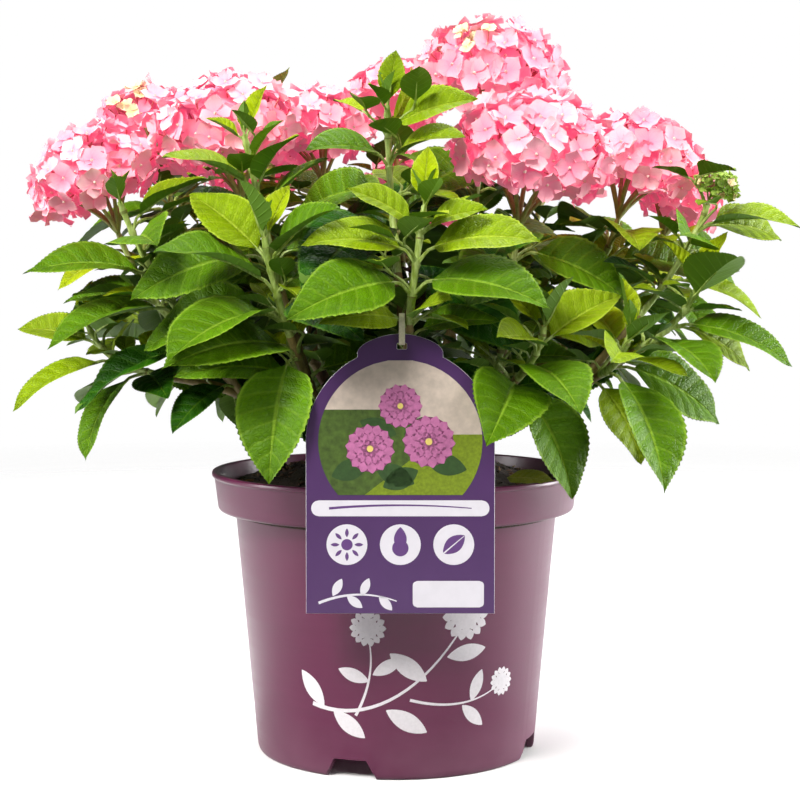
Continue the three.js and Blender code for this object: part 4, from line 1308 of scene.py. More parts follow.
def add_blade(into, leaf, rows, depth, quilting, chance, kind, under):
    """A closed toothed blade. At share s along it and u across it, from -1 to 1:
    the point is the midrib's at s', u half widths to the side, and raised along the normal, where
    s' = s + 0.6 |u| s (1 - s), so that the rows slant forward as the side veins do,
    half width = length * share of width * outline(s'),
    height = |u| half (sin fold - curl |u|) + wave u^2 sin(turns s + phase), and swells between the veins.
    Each stretch of margin has two teeth with a notch between. Below is a plain keel under the midrib."""
    shares = np.linspace(0, 1, rows + 1)[1:-1]
    across = np.cross(leaf.ahead, leaf.upper)
    fold = math.radians(leaf.fold)
    curl = 0.16 + 0.16 * chance.random()
    wave = leaf.length * chance.uniform(0.006, 0.022)
    phase = chance.uniform(0, 2 * np.pi, 2)
    turns = chance.uniform(7, 12)
    twist = chance.uniform(-0.10, 0.10)

    def surface(s, u, out=0.0, swell=0.0):
        s, u = np.broadcast_arrays(np.asarray(s, float), np.asarray(u, float))
        along = s + 0.6 * np.abs(u) * s * (1 - s)
        middle, normal = midrib(leaf, along)
        half = leaf.length * (LEAF["width_share"] * blade_outline(along) + out)
        side = np.abs(u) * half
        height = side * (math.sin(fold) - curl * np.abs(u)) + twist * u * half * along
        height = height + wave * u**2 * np.sin(turns * s + np.where(u < 0, *phase)) + swell
        reach = u * half * math.cos(fold)
        return middle + reach[..., None] * across + height[..., None] * normal

    count = len(shares)
    columns = np.array((-1.0, -0.52, 0.0, 0.52, 1.0))
    bulge = leaf.length * quilting * (np.arange(count) % 2 == 0) * np.sin(np.pi * shares) ** 0.5
    swell = bulge[:, None] * np.array((0.15, 1.0, 0.0, 1.0, 0.15))
    upper = surface(shares[:, None], columns[None], 0.0, swell)
    ends = surface(np.array((0.0, 1.0)), np.zeros(2))
    keel_drop = leaf.length * 0.009 * (1 - 0.7 * shares)
    lower = surface(shares, np.zeros(count)) - midrib(leaf, shares)[1] * keel_drop[:, None]
    between = mix(shares[:-1, None], shares[1:, None], TEETH[None, :, 0])
    size = depth * np.sin(np.pi * np.clip(between, 0.05, 1)) ** 0.6 * TEETH[:, 1]
    margins = np.array((-1.0, 1.0))
    teeth = surface(between[..., None], margins, size[..., None])
    points = np.vstack((upper.reshape(-1, 3), ends, lower, teeth.reshape(-1, 3)))

    root, tip = 5 * count, 5 * count + 1
    keel = tip + 1 + np.arange(count)
    first = tip + 1 + count + 6 * np.arange(count - 1)
    left_teeth, right_teeth = [first, first + 2, first + 4], [first + 1, first + 3, first + 5]
    row = 5 * np.arange(count - 1)
    inner = [np.stack((row + k, row + k + 1, row + k + 6, row + k + 5), 1) for k in (1, 2)]
    left = np.stack((row, row + 1, row + 6, row + 5, *left_teeth[::-1]), axis=1)
    right = np.stack((row + 3, row + 4, *right_teeth, row + 9, row + 8), axis=1)
    end = 5 * (count - 1)
    closing = [(root, k + 1, k) for k in range(4)] + [(tip, end + k, end + k + 1) for k in range(4)]
    below_left = np.stack((keel[:-1], row, *left_teeth, row + 5, keel[1:]), axis=1)
    below_right = np.stack((keel[1:], row + 9, *right_teeth[::-1], row + 4, keel[:-1]), axis=1)
    below_ends = [(root, 0, keel[0]), (root, keel[0], 4), (tip, keel[-1], end), (tip, end + 4, keel[-1])]
    flat = np.stack(np.broadcast_arrays(columns[None] / 2 + 0.5, shares[:, None]), axis=-1)
    uv = np.vstack(
        (
            flat.reshape(-1, 2), ((0.5, 0.0), (0.5, 1.0)),
            np.stack((np.full(count, 0.5), shares), axis=1),
            np.stack(np.broadcast_arrays(margins / 2 + 0.5, between[..., None]), -1).reshape(-1, 2),
        )
    )
    groups = [(face, kind) for face in (*inner, left, right, closing)]
    groups += [(face, under) for face in (below_left, below_right, below_ends)]
    into.add(points, groups, uv)


def leaf_kind(leaf, chance):
    """Which of the greens a leaf has: by its age, a step darker as painted shade in the crown's middle, and
    some a step lighter or darker at random, more often lighter at the outside as painted light.
    """
    tip = midrib(leaf, 1.0)[0]
    reach = math.hypot(tip[0], tip[1])
    # Leaves reaching past 150 mm from the axis are more often a step lighter: painted light on the outside
    # of the crown.
    shift = int(chance.choice((-1, -1, 0, 0, 0) if reach > 150 else (-1, 0, 0, 0, 1)))
    if leaf.age == -1:
        return 0
    # Leaves low in the crown's middle are a step darker: painted shade.
    inside = reach < 90 and tip[2] < 300
    usual = 1 if leaf.age == -2 else (0, 1, 1, 2, 2, 3)[leaf.age]
    lightest = 0 if leaf.length < 44 else 1 if leaf.length < 64 else 2
    return int(np.clip(usual + shift + inside, lightest, 4))


def add_stalk(into, leaf, kind):
    """A leaf's stalk: a tube along a Bezier curve from the shoot to the blade, then under its midrib."""
    reach = np.linalg.norm(leaf.base - leaf.node)
    out = unit(leaf.base - leaf.node)
    line = (leaf.node, leaf.node + out * reach * 0.4, leaf.base - leaf.ahead * reach * 0.35, leaf.base)
    centres = bezier(line, np.linspace(0, 1, 5))[0]
    under, normal = midrib(leaf, np.array((0.12, 0.3, 0.5)))
    sink = np.array((0.75, 0.55, 0.4))[:, None]
    thick = LEAF["stalk_radius"] * min(1.0, 0.35 + leaf.length / 90)
    radii = thick * np.array((1.35, 1.0, 0.9, 0.9, 0.95, 0.75, 0.5, 0.25))
    centres[-1] = centres[-1] - leaf.upper * thick * 0.5
    into.tube(np.vstack((centres, under - normal * sink * thick)), radii, 5, kind)


def add_shoot(into, cane, shoot):
    """A shoot's stem: radius falls evenly to its tip, and swells to a joint at every pair of leaves."""
    line = shoot_line(cane, shoot)
    places, length = pair_places(line, shoot)
    joints = np.array(places or [2.0])
    beside = 2 / length
    share = np.unique(np.concatenate((np.linspace(0, 1, 22), joints, joints - beside, joints + beside)))
    share = share[(share >= 0) & (share <= 1)]
    near = np.abs(share[:, None] - joints).min(axis=1) * length
    thin = 1.0 if shoot.bud else 1.12
    radii = mix(SHOOT["radius"], SHOOT["tip_radius"], share) * thin + 0.75 * np.exp(-((near / 1.9) ** 2))
    middle = (share[1:] + share[:-1]) / 2
    at_joint = np.abs(middle[:, None] - joints).min(axis=1) * length < 0.9
    kinds = np.where(at_joint, 2, np.where(middle < 0.42, 1, 0))
    into.tube(bezier(line, share)[0], radii, 9, np.repeat(kinds, 9), 1)


def add_knuckle(into, cane, chance):
    """The neck of a mass and the knuckle that its shoots leave from: a ball with low bumps."""
    foot, knuckle, _ = neck_of(cane)
    path = foot + (knuckle - foot) * np.linspace(0, 1, 6)[:, None]
    into.tube(path, NECK["radius"] * (1 + 0.06 * chance.standard_normal((6, 12))), 12, 1)
    size = NECK["knuckle"] * (1 + 0.05 * chance.standard_normal((9 * 14 + 2, 1)))
    quads, ends = closed_faces(9, 14)
    into.add(ball_points(knuckle, size, 10, 14), [(quads, 1), (ends, 1)])


LEAF_VEINS = (  # each green's veins and how rough it is, from the youngest leaves to the oldest
    ("lime", (214, 228, 90), 0.44), ("bright", (192, 212, 68), 0.42), ("green", (154, 190, 56), 0.40),
    ("deep", (112, 158, 40), 0.38), ("dark", (72, 124, 30), 0.38),
)


def grown_foliage():
    """All blades as one piece, and all shoots, stalks and side twigs as another."""
    growth = Growth()
    size = sizes()
    chance = np.random.default_rng(SEED + 1)
    blades, twigs = Joined("blade"), Joined()
    for leaf in growth.leaves:
        small = leaf.length < 36
        rows = max(6, size.leaf_rows // 2 + 1) if small else size.leaf_rows
        quilting = size.quilting * (0.5 if leaf.age < 1 else 1.0)
        add_blade(blades, leaf, rows, size.tooth_depth, quilting, chance, leaf_kind(leaf, chance), 5)
        add_stalk(twigs, leaf, 0)
    for cane in CANES:
        add_knuckle(twigs, cane, chance)
        for shoot in cane.shoots:
            add_shoot(twigs, cane, shoot)
    for node, bend, tip in growth.twigs:
        share = np.linspace(0, 1, 6)[:, None]
        twigs.tube(swept(node, bend, tip, share), mix(1.3, 0.8, share[:, 0]), 6)
    greens = [
        leaf_finish(f"leaf_{name}", tint(f"leaf_{name}"), display(*veins), gloss)
        for name, veins, gloss in LEAF_VEINS
    ]
    greens.append(under_finish("leaf_under", tint("leaf_under")))
    stems = [
        stem_finish("stem_green", tint("stalk"), display(196, 216, 128)),
        stem_finish("stem_ripe", tint("ripe_stem"), display(150, 132, 70), 0.6),
        stem_finish("stem_joint", display(122, 140, 56), display(122, 104, 56), 0.55),
    ]
    blades.make("leaves", greens, "foliage", FOLIAGE_NODES, crease=34)
    twigs.make("twigs", stems, "foliage", FOLIAGE_NODES, crease=50)


# ---- canes and the dead stub


SUNK = 4.0  # how far a limb's foot reaches into the compost


def bark_relief(rings, sides, chance, depth):
    """Factors for a limb's radii: for every side, 1 + depth times four waves along the limb with heights
    and starts of their own, and one ridge or furrow that runs the whole way."""
    along = np.linspace(0, 1, rings)[None, :, None]
    pace = np.array((1.0, 2.3, 4.1, 7.7))[:, None, None]
    height = chance.standard_normal((4, 1, sides)) / pace**0.5
    start = chance.uniform(0, 2 * np.pi, (4, 1, sides))
    waves = (height * np.sin(2 * np.pi * pace * along + start)).sum(axis=0)
    return 1 + depth * (0.6 * waves + chance.standard_normal(sides))


def bark_canes():
    """The canes: radius falls evenly to the fork, with bark relief and a joint every few centimetres."""
    chance = np.random.default_rng(SEED + 2)
    canes = Joined()
    rings, sides = 44, 20
    share = np.linspace(0, 1, rings)
    for cane in CANES:
        joint = np.abs((share[:, None] * 2.6 + chance.random()) % 1.0 - 0.5)
        swell = 1 + 0.16 * np.exp(-((joint / 0.07) ** 2))
        radii = mix(CANE["radius"], CANE["fork_radius"], share)[:, None] * swell
        radii = radii * bark_relief(rings, sides, chance, 0.035)
        centres = bezier(cane_line(cane), share)[0]
        centres[0] = centres[0] - UP * SUNK
        canes.tube(centres, radii, sides)
    bark = bark_finish("cane_bark", tint("bark"), display(58, 38, 26))
    canes.make("canes", [bark], "cane", CANE_NODES, crease=60)


def dead_stub():
    """The dead, snapped-off cane: a furrowed tube with a split end, and fibres that have come away."""
    chance = np.random.default_rng(SEED + 3)
    stub = Joined()
    rings, sides = 30, 16
    quads, ends = closed_faces(rings, sides)
    centres, radii = stub_path(rings)
    centres[0] = centres[0] - UP * SUNK
    points = tube_points(centres, radii[:, None] * bark_relief(rings, sides, chance, 0.09), sides)
    points[(rings - 1) * sides : rings * sides] += UP * chance.uniform(-2.5, 4.0, (sides, 1))
    stub.add(points, [(quads, 0), (ends, 1)])
    share = np.linspace(0, 1, 7)[:, None]
    for _ in range(22):
        start = centres[int(chance.integers(6, rings))]
        way = unit(chance.standard_normal(3) + UP * 0.7)
        droop = np.array((*chance.uniform(-4, 4, 2), -chance.uniform(2, 9)))
        length = chance.uniform(7, 18)
        path = start + way * share * length + droop * share**2
        stub.tube(path, mix(0.55, 0.15, share[:, 0]), 3, 1)
    finishes = [
        bark_finish("dead_bark", tint("dead_wood"), display(30, 20, 15), 0.9),
        bark_finish("dead_fibres", display(128, 98, 66), display(70, 50, 34), 0.3),
    ]
    stub.make("dead_stub", finishes, "dead_wood", ["stub"], crease=60)


# ---- blossom

# Painted glow: a rosy emission of the sepals that stands in for light coming through them and lifts their
# shade.
PAINTED_GLOW = 0.2
PAINTED_GLOW_COLOUR = (1.0, 0.13, 0.38)
GOLDEN_TURN = 2.39996  # radians
LARGEST_HEAD = 49  # its radius, for which the florets' number and size are given
# Places on a sepal: share of the way out and of its width, for rows of three points.
SEPAL_OUT = np.array((0.06, 0.36, 0.7, 1.0))
SEPAL_HALF = np.array((0.07, 0.42, 0.52, 0.13))
# Heads that are still opening on one side, by their shoot's tip, and the direction of that side.
OPENING = {(61, 34, 420): (-0.62, -0.45, 0.64), (-164, 50, 394): (0.25, -0.75, 0.6)}


def sepal_faces():
    """Quads of one sepal: its upper side, then its lower side, which shares the rim and has a middle of its
    own. Points are four rows of three, then the lower side's two middle points."""
    upper = []
    for row in range(3):
        for column in range(2):
            low = row * 3 + column
            upper.append((low, low + 3, low + 4, low + 1))
    under = {4: 12, 7: 13}
    lower = [tuple(under.get(corner, corner) for corner in reversed(quad)) for quad in upper]
    return np.array(upper + lower)


def add_florets(into, middles, facing, radius, kinds, chance, closed_up=0.0):
    """Florets of four sepals. On a sepal, at share v of the way out and c across, from -1 to 1:
    out = radius * v * (1 - 0.1 c^2), across = c * half width(v) * radius, and
    height = radius * (cup v^2 + trough v c^2), with a cup and trough of each sepal's own."""
    count = len(middles)
    spin = chance.uniform(0, 2 * np.pi, count)
    other = np.where(np.abs(facing[:, 2:]) < 0.9, UP, np.array((1.0, 0.0, 0.0)))
    first = unit(np.cross(facing, other))
    second = np.cross(facing, first)
    quarter = spin[:, None] + np.pi / 2 * np.arange(4) + chance.uniform(-0.12, 0.12, (count, 4))
    out_way = first[:, None] * np.cos(quarter)[..., None] + second[:, None] * np.sin(quarter)[..., None]
    side_way = np.cross(facing[:, None], out_way)
    out, across = np.meshgrid(SEPAL_OUT, (-1.0, 0.0, 1.0), indexing="ij")
    half = np.repeat(SEPAL_HALF, 3).reshape(4, 3)
    size = (radius[:, None] * chance.uniform(0.9, 1.08, (count, 4)))[..., None, None]
    cup = chance.uniform(-0.04, 0.3, (count, 4))[..., None, None] + closed_up
    trough = chance.uniform(-0.1, 0.36, (count, 4))[..., None, None]
    lean = chance.uniform(-0.12, 0.12, (count, 4))[..., None, None]
    forward = size * out * (1 - 0.1 * across**2)
    beside = size * across * half
    raised = size * (cup * out**2 + trough * out * across**2 + lean * across * out)
    raised = raised + (np.arange(4) % 2 * 0.35)[:, None, None]
    upper = (
        middles[:, None, None, None]
        + forward[..., None] * out_way[:, :, None, None]
        + beside[..., None] * side_way[:, :, None, None]
        + raised[..., None] * facing[:, None, None, None]
    ).reshape(count, 4, 12, 3)
    lower = upper[:, :, (4, 7)] - facing[:, None, None] * 0.4
    sepals = np.concatenate((upper, lower), axis=2)
    quads = sepal_faces()
    step = 14 * np.arange(count * 4)
    faces = (quads[None] + step[:, None, None]).reshape(-1, 4)
    flat = np.stack((across.ravel() * 0.5 + 0.5, out.ravel()), axis=1)
    uv = np.tile(np.vstack((flat, flat[[4, 7]])), (count * 4, 1))
    into.add(sepals.reshape(-1, 3), [(faces, np.repeat(kinds, 48))], uv)

    angle = around(5)
    ring = first[:, None] * np.cos(angle)[:, None] + second[:, None] * np.sin(angle)[:, None]
    bead = radius[:, None, None] * 0.12
    rim = middles[:, None] + ring * bead + facing[:, None] * 0.2
    peak = middles + facing * (radius[:, None] * 0.15 + 0.3)
    floor = middles - facing * 0.3
    points = np.concatenate((rim, peak[:, None], floor[:, None]), axis=1)
    one = np.vstack((fan(0, 5, 5), fan(0, 6, 5, flipped=True)))
    faces = (one[None] + 7 * np.arange(count)[:, None, None]).reshape(-1, 3)
    into.add(points.reshape(-1, 3), [(faces, np.full(len(faces), 4))])


# A head's layers of florets, each on a golden spiral: share of the full count, how low the spiral runs,
# and the least and greatest stand over the head's radius.
LAYERS = ((1.0, 1.7, 0.93, 1.02), (0.95, 1.6, 0.78, 0.86))


def add_head(blossom, stalks, shoot, chance):
    """A head: two layers of florets over a flattened dome, and the fan of stalks that carries them. Point k
    of a layer of n has height 1 - low (k + 1/2) / n and k golden turns; the dome is 0.8 as high as wide,
    and flatter below."""
    size = shoot.head
    tip = np.array(shoot.tip, float)
    tilt = tilt_to(head_axis(tip))
    full = 40 if shoot.bud else round(sizes().floret_count * (size / LARGEST_HEAD) ** 1.75)
    balls, reaches, lows = [], [], []
    for share, low, least, greatest in LAYERS:
        count = round(full * share)
        k = np.arange(count)
        height = 1 - low * (k + 0.5) / count
        level = np.sqrt(1 - height**2)
        turn = GOLDEN_TURN * k + chance.uniform(0, 6)
        ball = carried_round(level, height, turn)
        balls.append(unit(ball + 0.05 * chance.standard_normal((count, 3))))
        reaches.append(chance.uniform(least, greatest, count))
        lows.append(np.full(count, share < 1))
    ball, reach, deep = np.vstack(balls), np.concatenate(reaches), np.concatenate(lows)
    count = len(ball)
    high = np.where(ball[:, 2:] > 0, 1.0, HEAD["underside"]) * HEAD["flatness"]
    stretch = np.concatenate((np.ones((count, 2)), high), axis=1)
    radius = np.full(count, 3.1) if shoot.bud else (
        sizes().floret_radius / MM * (0.72 + 0.28 * size / LARGEST_HEAD) * chance.uniform(0.9, 1.08, count)
    )
    places = ball * stretch * (size * reach - 0.2 * radius)[:, None]
    facing = unit(unit(ball / stretch) + 0.17 * chance.standard_normal((count, 3)))
    middles = places @ tilt.T + tip
    facing = facing @ tilt.T
    kinds = chance.choice((0, 1, 1, 2), count)
    # The lower layer sits in the head's shade: it never takes the palest pink, and a third of it takes a
    # deeper pink as painted shade.
    kinds = np.where(deep, chance.choice((1, 2, 6), count), kinds)
    if shoot.tip in OPENING:
        opening = ball @ unit(np.array(OPENING[shoot.tip]))
        unripe = opening + 0.2 * chance.standard_normal(count) > 0.84
        kinds = np.where(unripe, 3, kinds)
        radius = np.where(unripe, radius * 0.6, radius)
    if shoot.bud:
        kinds = np.where(chance.random(count) < 0.86, 5, 3)
    add_florets(blossom, middles, facing, radius, kinds, chance, 0.35 if shoot.bud else 0.0)

    crotch = tip - head_axis(tip) * HEAD["stalk"] * size
    arms = 7
    turn = 2 * np.pi * (np.arange(arms) + chance.random()) / arms
    hubs = np.vstack((carried_round(0.5, -0.12, turn), (0.0, 0.0, 0.1))) * size @ tilt.T + tip
    share = np.linspace(0, 1, 5)[:, None]
    thick = 0.4 if shoot.bud else 1.0
    for hub in hubs:
        pull = (hub - crotch) * np.array((0.35, 0.35, 0.6)) + crotch
        stalks.tube(swept(crotch, pull, hub, share), thick * mix(1.5, 1.0, share[:, 0]), 6)
    nearest = np.linalg.norm(middles[:, None] - hubs[None], axis=2).argmin(axis=1)
    share = np.array((0.0, 0.5, 1.0))[:, None]
    for end, out, hub in zip(middles, facing, hubs[nearest]):
        bend = mix(hub, end, 0.6) - out * 1.5
        stalks.tube(swept(hub, bend, end, share), thick * np.array((0.75, 0.55, 0.5)), 4, 1)


def blossom_heads():
    """Every head's florets as one piece, and their stalks as another."""
    chance = np.random.default_rng(SEED + 4)
    blossom, stalks = Joined("sepal"), Joined()
    for cane in CANES:
        for shoot in cane.shoots:
            if shoot.head:
                add_head(blossom, stalks, shoot, chance)
    finishes = [
        sepal_finish(f"sepal_{name}", tint(f"sepal_{name}"), display(*heart), painted_glow)
        for name, heart, painted_glow in (
            ("pale", (248, 160, 182), PAINTED_GLOW), ("pink", (246, 148, 173), PAINTED_GLOW),
            ("rose", (243, 130, 160), PAINTED_GLOW), ("cream", (234, 214, 132), PAINTED_GLOW * 0.2),
        )
    ]
    finishes += [
        plain_finish("bead", display(246, 214, 200), 0.45, 0.08, 1.5, 0.2),
        sepal_finish("sepal_lime", display(178, 204, 92), display(120, 160, 48)),
        # A deeper pink for a third of the head's lower layer: painted shade.
        sepal_finish("sepal_deep", display(250, 166, 184), display(241, 118, 150), PAINTED_GLOW),
    ]
    blossom.make("florets", finishes, "foliage", FOLIAGE_NODES, crease=50)
    green = stem_finish("flower_stalk", display(132, 150, 74), display(176, 170, 110))
    rosy = stem_finish("floret_stalk", display(206, 118, 120), display(222, 150, 140))
    stalks.make("flower_stalks", [green, rosy], "foliage", FOLIAGE_NODES, crease=60)


# ---- pot and its printed sprig


def wall_radius(height):
    """Outer radius of the pot's wall at a height."""
    return mix(POT["foot_radius"], POT["body_top_radius"], np.asarray(height) / POT["collar_foot"])


def rounded(outline, reach, steps=5):
    """An outline whose corners are swept round: each corner becomes a quadratic curve that begins and ends
    `reach` along its two edges, or half an edge where that is less."""
    outline = np.array(outline, float)
    reach = np.broadcast_to(reach, len(outline))
    points = [outline[:1]]
    t = np.linspace(0, 1, steps)[:, None]
    for before, corner, after, most in zip(outline, outline[1:], outline[2:], reach[1:]):
        back, on = before - corner, after - corner
        start = corner + unit(back) * min(most, np.linalg.norm(back) / 2)
        end = corner + unit(on) * min(most, np.linalg.norm(on) / 2)
        points.append(swept(start, corner, end, t))
    points.append(outline[-1:])
    return np.vstack(points)


def notch_height(angle):
    """How high the foot is cut away at each angle: level over each notch, and sloping down at its sides."""
    span = 2 * np.pi / NOTCH["count"]
    first = math.radians(NOTCH["first"])
    from_middle = np.abs((angle - first + span / 2) % span - span / 2) * POT["foot_radius"]
    wide, narrow = NOTCH["width_foot"] / 2, NOTCH["width_top"] / 2
    return NOTCH["height"] * np.clip((wide - from_middle) / (wide - narrow), 0, 1)


def pot_angles():
    """Angles round the pot, evenly spread, with more of them at the sides of the notches."""
    even = np.linspace(0, 2 * np.pi, 160, endpoint=False)
    wide, narrow = NOTCH["width_foot"] / 2, NOTCH["width_top"] / 2
    extra = []
    for k in range(NOTCH["count"]):
        middle = math.radians(NOTCH["first"]) + 2 * np.pi / NOTCH["count"] * k
        for reach in (wide, narrow):
            for offset in (-0.15, 0.15):
                extra += [middle + (reach + offset) / POT["foot_radius"]]
                extra += [middle - (reach + offset) / POT["foot_radius"]]
    return np.unique(np.round(np.concatenate((even, np.array(extra))) % (2 * np.pi), 5))


def cut_away(piece, cutter):
    """Takes the cutter's form out of a piece and removes the cutter."""
    cut = piece.modifiers.new("cut", "BOOLEAN")
    cut.operation = "DIFFERENCE"
    cut.solver = "EXACT"
    cut.object = cutter
    bpy.context.view_layer.update()
    seen = piece.evaluated_get(bpy.context.evaluated_depsgraph_get())
    mesh = bpy.data.meshes.new_from_object(seen)
    piece.modifiers.remove(cut)
    old = piece.data
    piece.data = mesh
    mesh.name = old.name
    bpy.data.meshes.remove(old)
    bpy.data.objects.remove(cutter)
    return mesh


def drain_cutter():
    """Rods through the pot's floor where its drain holes are."""
    rods = Joined()
    for k in range(DRAIN["count"]):
        turn = math.radians(DRAIN["first"] + 360 / DRAIN["count"] * k)
        middle = heading(turn) * DRAIN["ring"] + UP * POT["floor"]
        path = np.array((middle - UP * 2.0, middle + UP * 6.0))
        rods.tube(path, np.full(2, DRAIN["radius"]), 28)
    mesh = bpy.data.meshes.new("rods")
    faces = [face.tolist() for group in rods.faces for face in group]
    mesh.from_pydata((np.vstack(rods.points) * MM).tolist(), [], faces)
    return linked("rods", mesh)


def pot_finish():
    """Moulded plastic with a satin sheen: a fine grain, faint drag marks, and dust low down."""
    finish = Finish("pot_plastic")
    base = tint("pot")
    grain = finish.noise(0.9, 2.0, 0.5)
    drag = finish.noise(30.0, 4.0, 0.6, (0.35, 0.35, 5.0))
    cloud = finish.noise(70.0, 3.0)
    height = finish.part(finish.node("ShaderNodeTexCoord", output="Object"), 2) / MM
    dust = height.falling(6.0, 34.0) * cloud.rising(0.35, 0.7)
    colour = finish.shades((cloud * 0.6 + drag * 0.4).rising(0.3, 0.7), base, 0.92, 1.1)
    colour = finish.blend(dust * 0.22, colour, display(168, 138, 150))
    finish.set("Base Color", colour)
    finish.set("Roughness", 0.26 + drag * 0.12 + dust * 0.2)
    finish.set("Normal", finish.bump(grain * 0.5 + drag * 0.5, 0.12, 0.5))
    finish.set("Specular IOR Level", 0.42)
    return finish.material


def nursery_pot():
    """The pot: its outline of (radius, height) with swept corners, carried round Z. Where a notch is cut,
    the outline's lower points are raised to the notch's top and follow the wall's slope."""
    floor, wall = POT["floor"], POT["wall"]
    inner_foot = POT["foot_radius"] - wall - POT["foot"]
    under_lip = POT["height"] - POT["lip_height"]
    outline = (
        (20.0, floor), (inner_foot, floor), (inner_foot, 0.0), (POT["foot_radius"], 0.0),
        (POT["body_top_radius"], POT["collar_foot"]), (POT["collar_foot_radius"], POT["collar_foot"]),
        (POT["collar_top_radius"], under_lip), (POT["rim_radius"], under_lip),
        (POT["rim_radius"], POT["height"]), (POT["rim_radius"] - wall - POT["lip"], POT["height"]),
        (POT["collar_foot_radius"] - wall, POT["collar_foot"] + wall),
        (POT["body_top_radius"] - wall, POT["collar_foot"] - wall),
        (float(wall_radius(floor)) - wall, floor + wall), (20.0, floor + wall),
    )
    profile = rounded(outline, (0, 0.8, 0.5, 4.5, 2.2, 2.4, 1.6, 1.0, 1.3, 0.9, 2, 2, 1, 0))
    angle = pot_angles()
    radius, height = profile[:, :1], profile[:, 1:]
    cut = notch_height(angle)[None]
    raised = np.maximum(height, cut)
    near_foot = (height < NOTCH["height"] + 0.2) & (radius > inner_foot - 0.5)
    slope = wall_radius(raised) - wall_radius(np.maximum(height, 0.0))
    radius = np.where(near_foot & (radius > inner_foot + 1), radius + slope, radius)
    radius, height = np.broadcast_arrays(radius, np.where(near_foot, raised, height))
    pot = Joined()
    pot.carried(carried_round(radius, height, angle), floor, floor + wall)
    piece = pot.make("nursery_pot", [pot_finish()], "pot", ["pot"])
    mesh = cut_away(piece, drain_cutter())
    mesh.set_sharp_from_angle(angle=math.radians(40))


# Flat shapes for print, in millimetres: each gives points of (x, y) and its quads.


def flat_blade(x, y, length, width, turn, rows=12):
    """A leaf or petal from (x, y) along `turn` degrees: at share s along it, its half width is
    width/2 * sin(pi s)^0.8."""
    share = np.linspace(0.01, 0.99, rows)
    half = width / 2 * np.sin(np.pi * share) ** 0.8
    u = np.linspace(-1, 1, 5)
    local = np.stack(np.broadcast_arrays(share[:, None] * length, u[None] * half[:, None]), -1)
    angle = math.radians(turn)
    spin = np.array(((math.cos(angle), math.sin(angle)), (-math.sin(angle), math.cos(angle))))
    return (local @ spin + (x, y)).reshape(-1, 2), grid_quads(rows, 5)[:, ::-1]


def flat_disc(x, y, radius, inner=0.02, start=0.0, sweep=360.0):
    """A disc, ring or sector: rings of points from `inner` of the radius out to all of it."""
    angle = np.radians(start + np.linspace(0, sweep, 37))
    reach = radius * np.linspace(inner, 1, 5)
    points = np.stack((reach[:, None] * np.cos(angle), reach[:, None] * np.sin(angle)), axis=-1)
    return (points + (x, y)).reshape(-1, 2), grid_quads(5, 37)[:, ::-1]


def flat_rows(heights, left, right):
    """A form between a left and a right edge, given at a row of heights."""
    u = np.linspace(0, 1, 9)
    x = mix(np.asarray(left, float)[:, None], np.asarray(right, float)[:, None], u[None])
    y = np.broadcast_to(np.asarray(heights, float)[:, None], x.shape)
    return np.stack((x, y), axis=-1).reshape(-1, 2), grid_quads(len(heights), 9)


def flat_panel(x, y, width, height, corner):
    """A panel with rounded corners, centred on (x, y)."""
    up = np.linspace(-height / 2, height / 2, 21)
    past = np.clip(np.abs(up) - (height / 2 - corner), 0, corner)
    half = width / 2 - corner + np.sqrt(np.clip(corner**2 - past**2, 0, None))
    return flat_rows(up + y, x - half, x + half)


def flat_stroke(start, bend, end, width):
    """A line of even width along a quadratic curve, narrowing to its end."""
    t = np.linspace(0, 1, 19)[:, None]
    start, bend, end = (np.array(point, float) for point in (start, bend, end))
    middle = swept(start, bend, end, t)
    way = unit(np.gradient(middle, axis=0))
    across = np.stack((way[:, 1], -way[:, 0]), axis=1)
    half = width / 2 * (1 - 0.6 * t)
    points = np.stack((middle - across * half, middle + across * half), axis=1)
    return points.reshape(-1, 2), grid_quads(19, 2)


def flat_mophead(x, y, radius, turn=0.0):
    """A round flower head: blunt petals in three rings, largest outside, as shapes from back to front."""
    shapes = []
    for ring, (reach, count) in enumerate(((1.0, 14), (0.7, 10), (0.4, 6))):
        for k in range(count):
            angle = turn + 360 / count * (k + 0.5 * (ring % 2))
            way = np.array((math.cos(math.radians(angle)), math.sin(math.radians(angle))))
            start = np.array((x, y)) + way * radius * (reach - 0.46)
            shapes.append(flat_blade(*start, radius * 0.46, radius * 0.36, angle, 8))
    return shapes


def sprig_on_pot():
    """A generic leafy sprig printed on the front of the pot, on the curve of its wall."""
    sprig = [
        flat_stroke((-58, 44), (-8, 30), (34, 92), 2.6),
        flat_stroke((-30, 39), (-18, 62), (-22, 84), 1.8), flat_stroke((2, 49), (34, 40), (58, 52), 1.8),
    ]
    for x, y, length, width, turn in (
        (-50, 43, 26, 10, 128), (-44, 41, 25, 10, -38), (-12, 43, 28, 11, -30), (12, 60, 28, 11, 142),
        (24, 74, 26, 10, 8), (40, 46, 20, 8, 68), (34, 44, 20, 8, -44), (-22, 60, 20, 8, 160),
        (-20, 64, 20, 8, 30),
    ):
        sprig.append(flat_blade(x, y, length, width, turn))
    sprig += flat_mophead(36, 98, 15) + flat_mophead(-23, 92, 11) + flat_mophead(63, 55, 9)
    into = Joined()
    for flat, quads in sprig:
        radius = wall_radius(flat[:, 1]) + 0.12
        angle = -math.pi / 2 + math.radians(4) + flat[:, 0] / radius
        points = np.stack((radius * np.cos(angle), radius * np.sin(angle), flat[:, 1]), axis=1)
        into.add(points, [(quads, 0)])
    ink = plain_finish("print_ink", tint("print"), 0.45, 0.05, 2.0, 0.02)
    into.make("printed_sprig", [ink], "pot", ["pot"])


# ---- compost


COMPOST_LUMPS = ((1.7, 9.0), (1.1, 4.2), (0.8, 2.0))  # height and width of each size, in mm


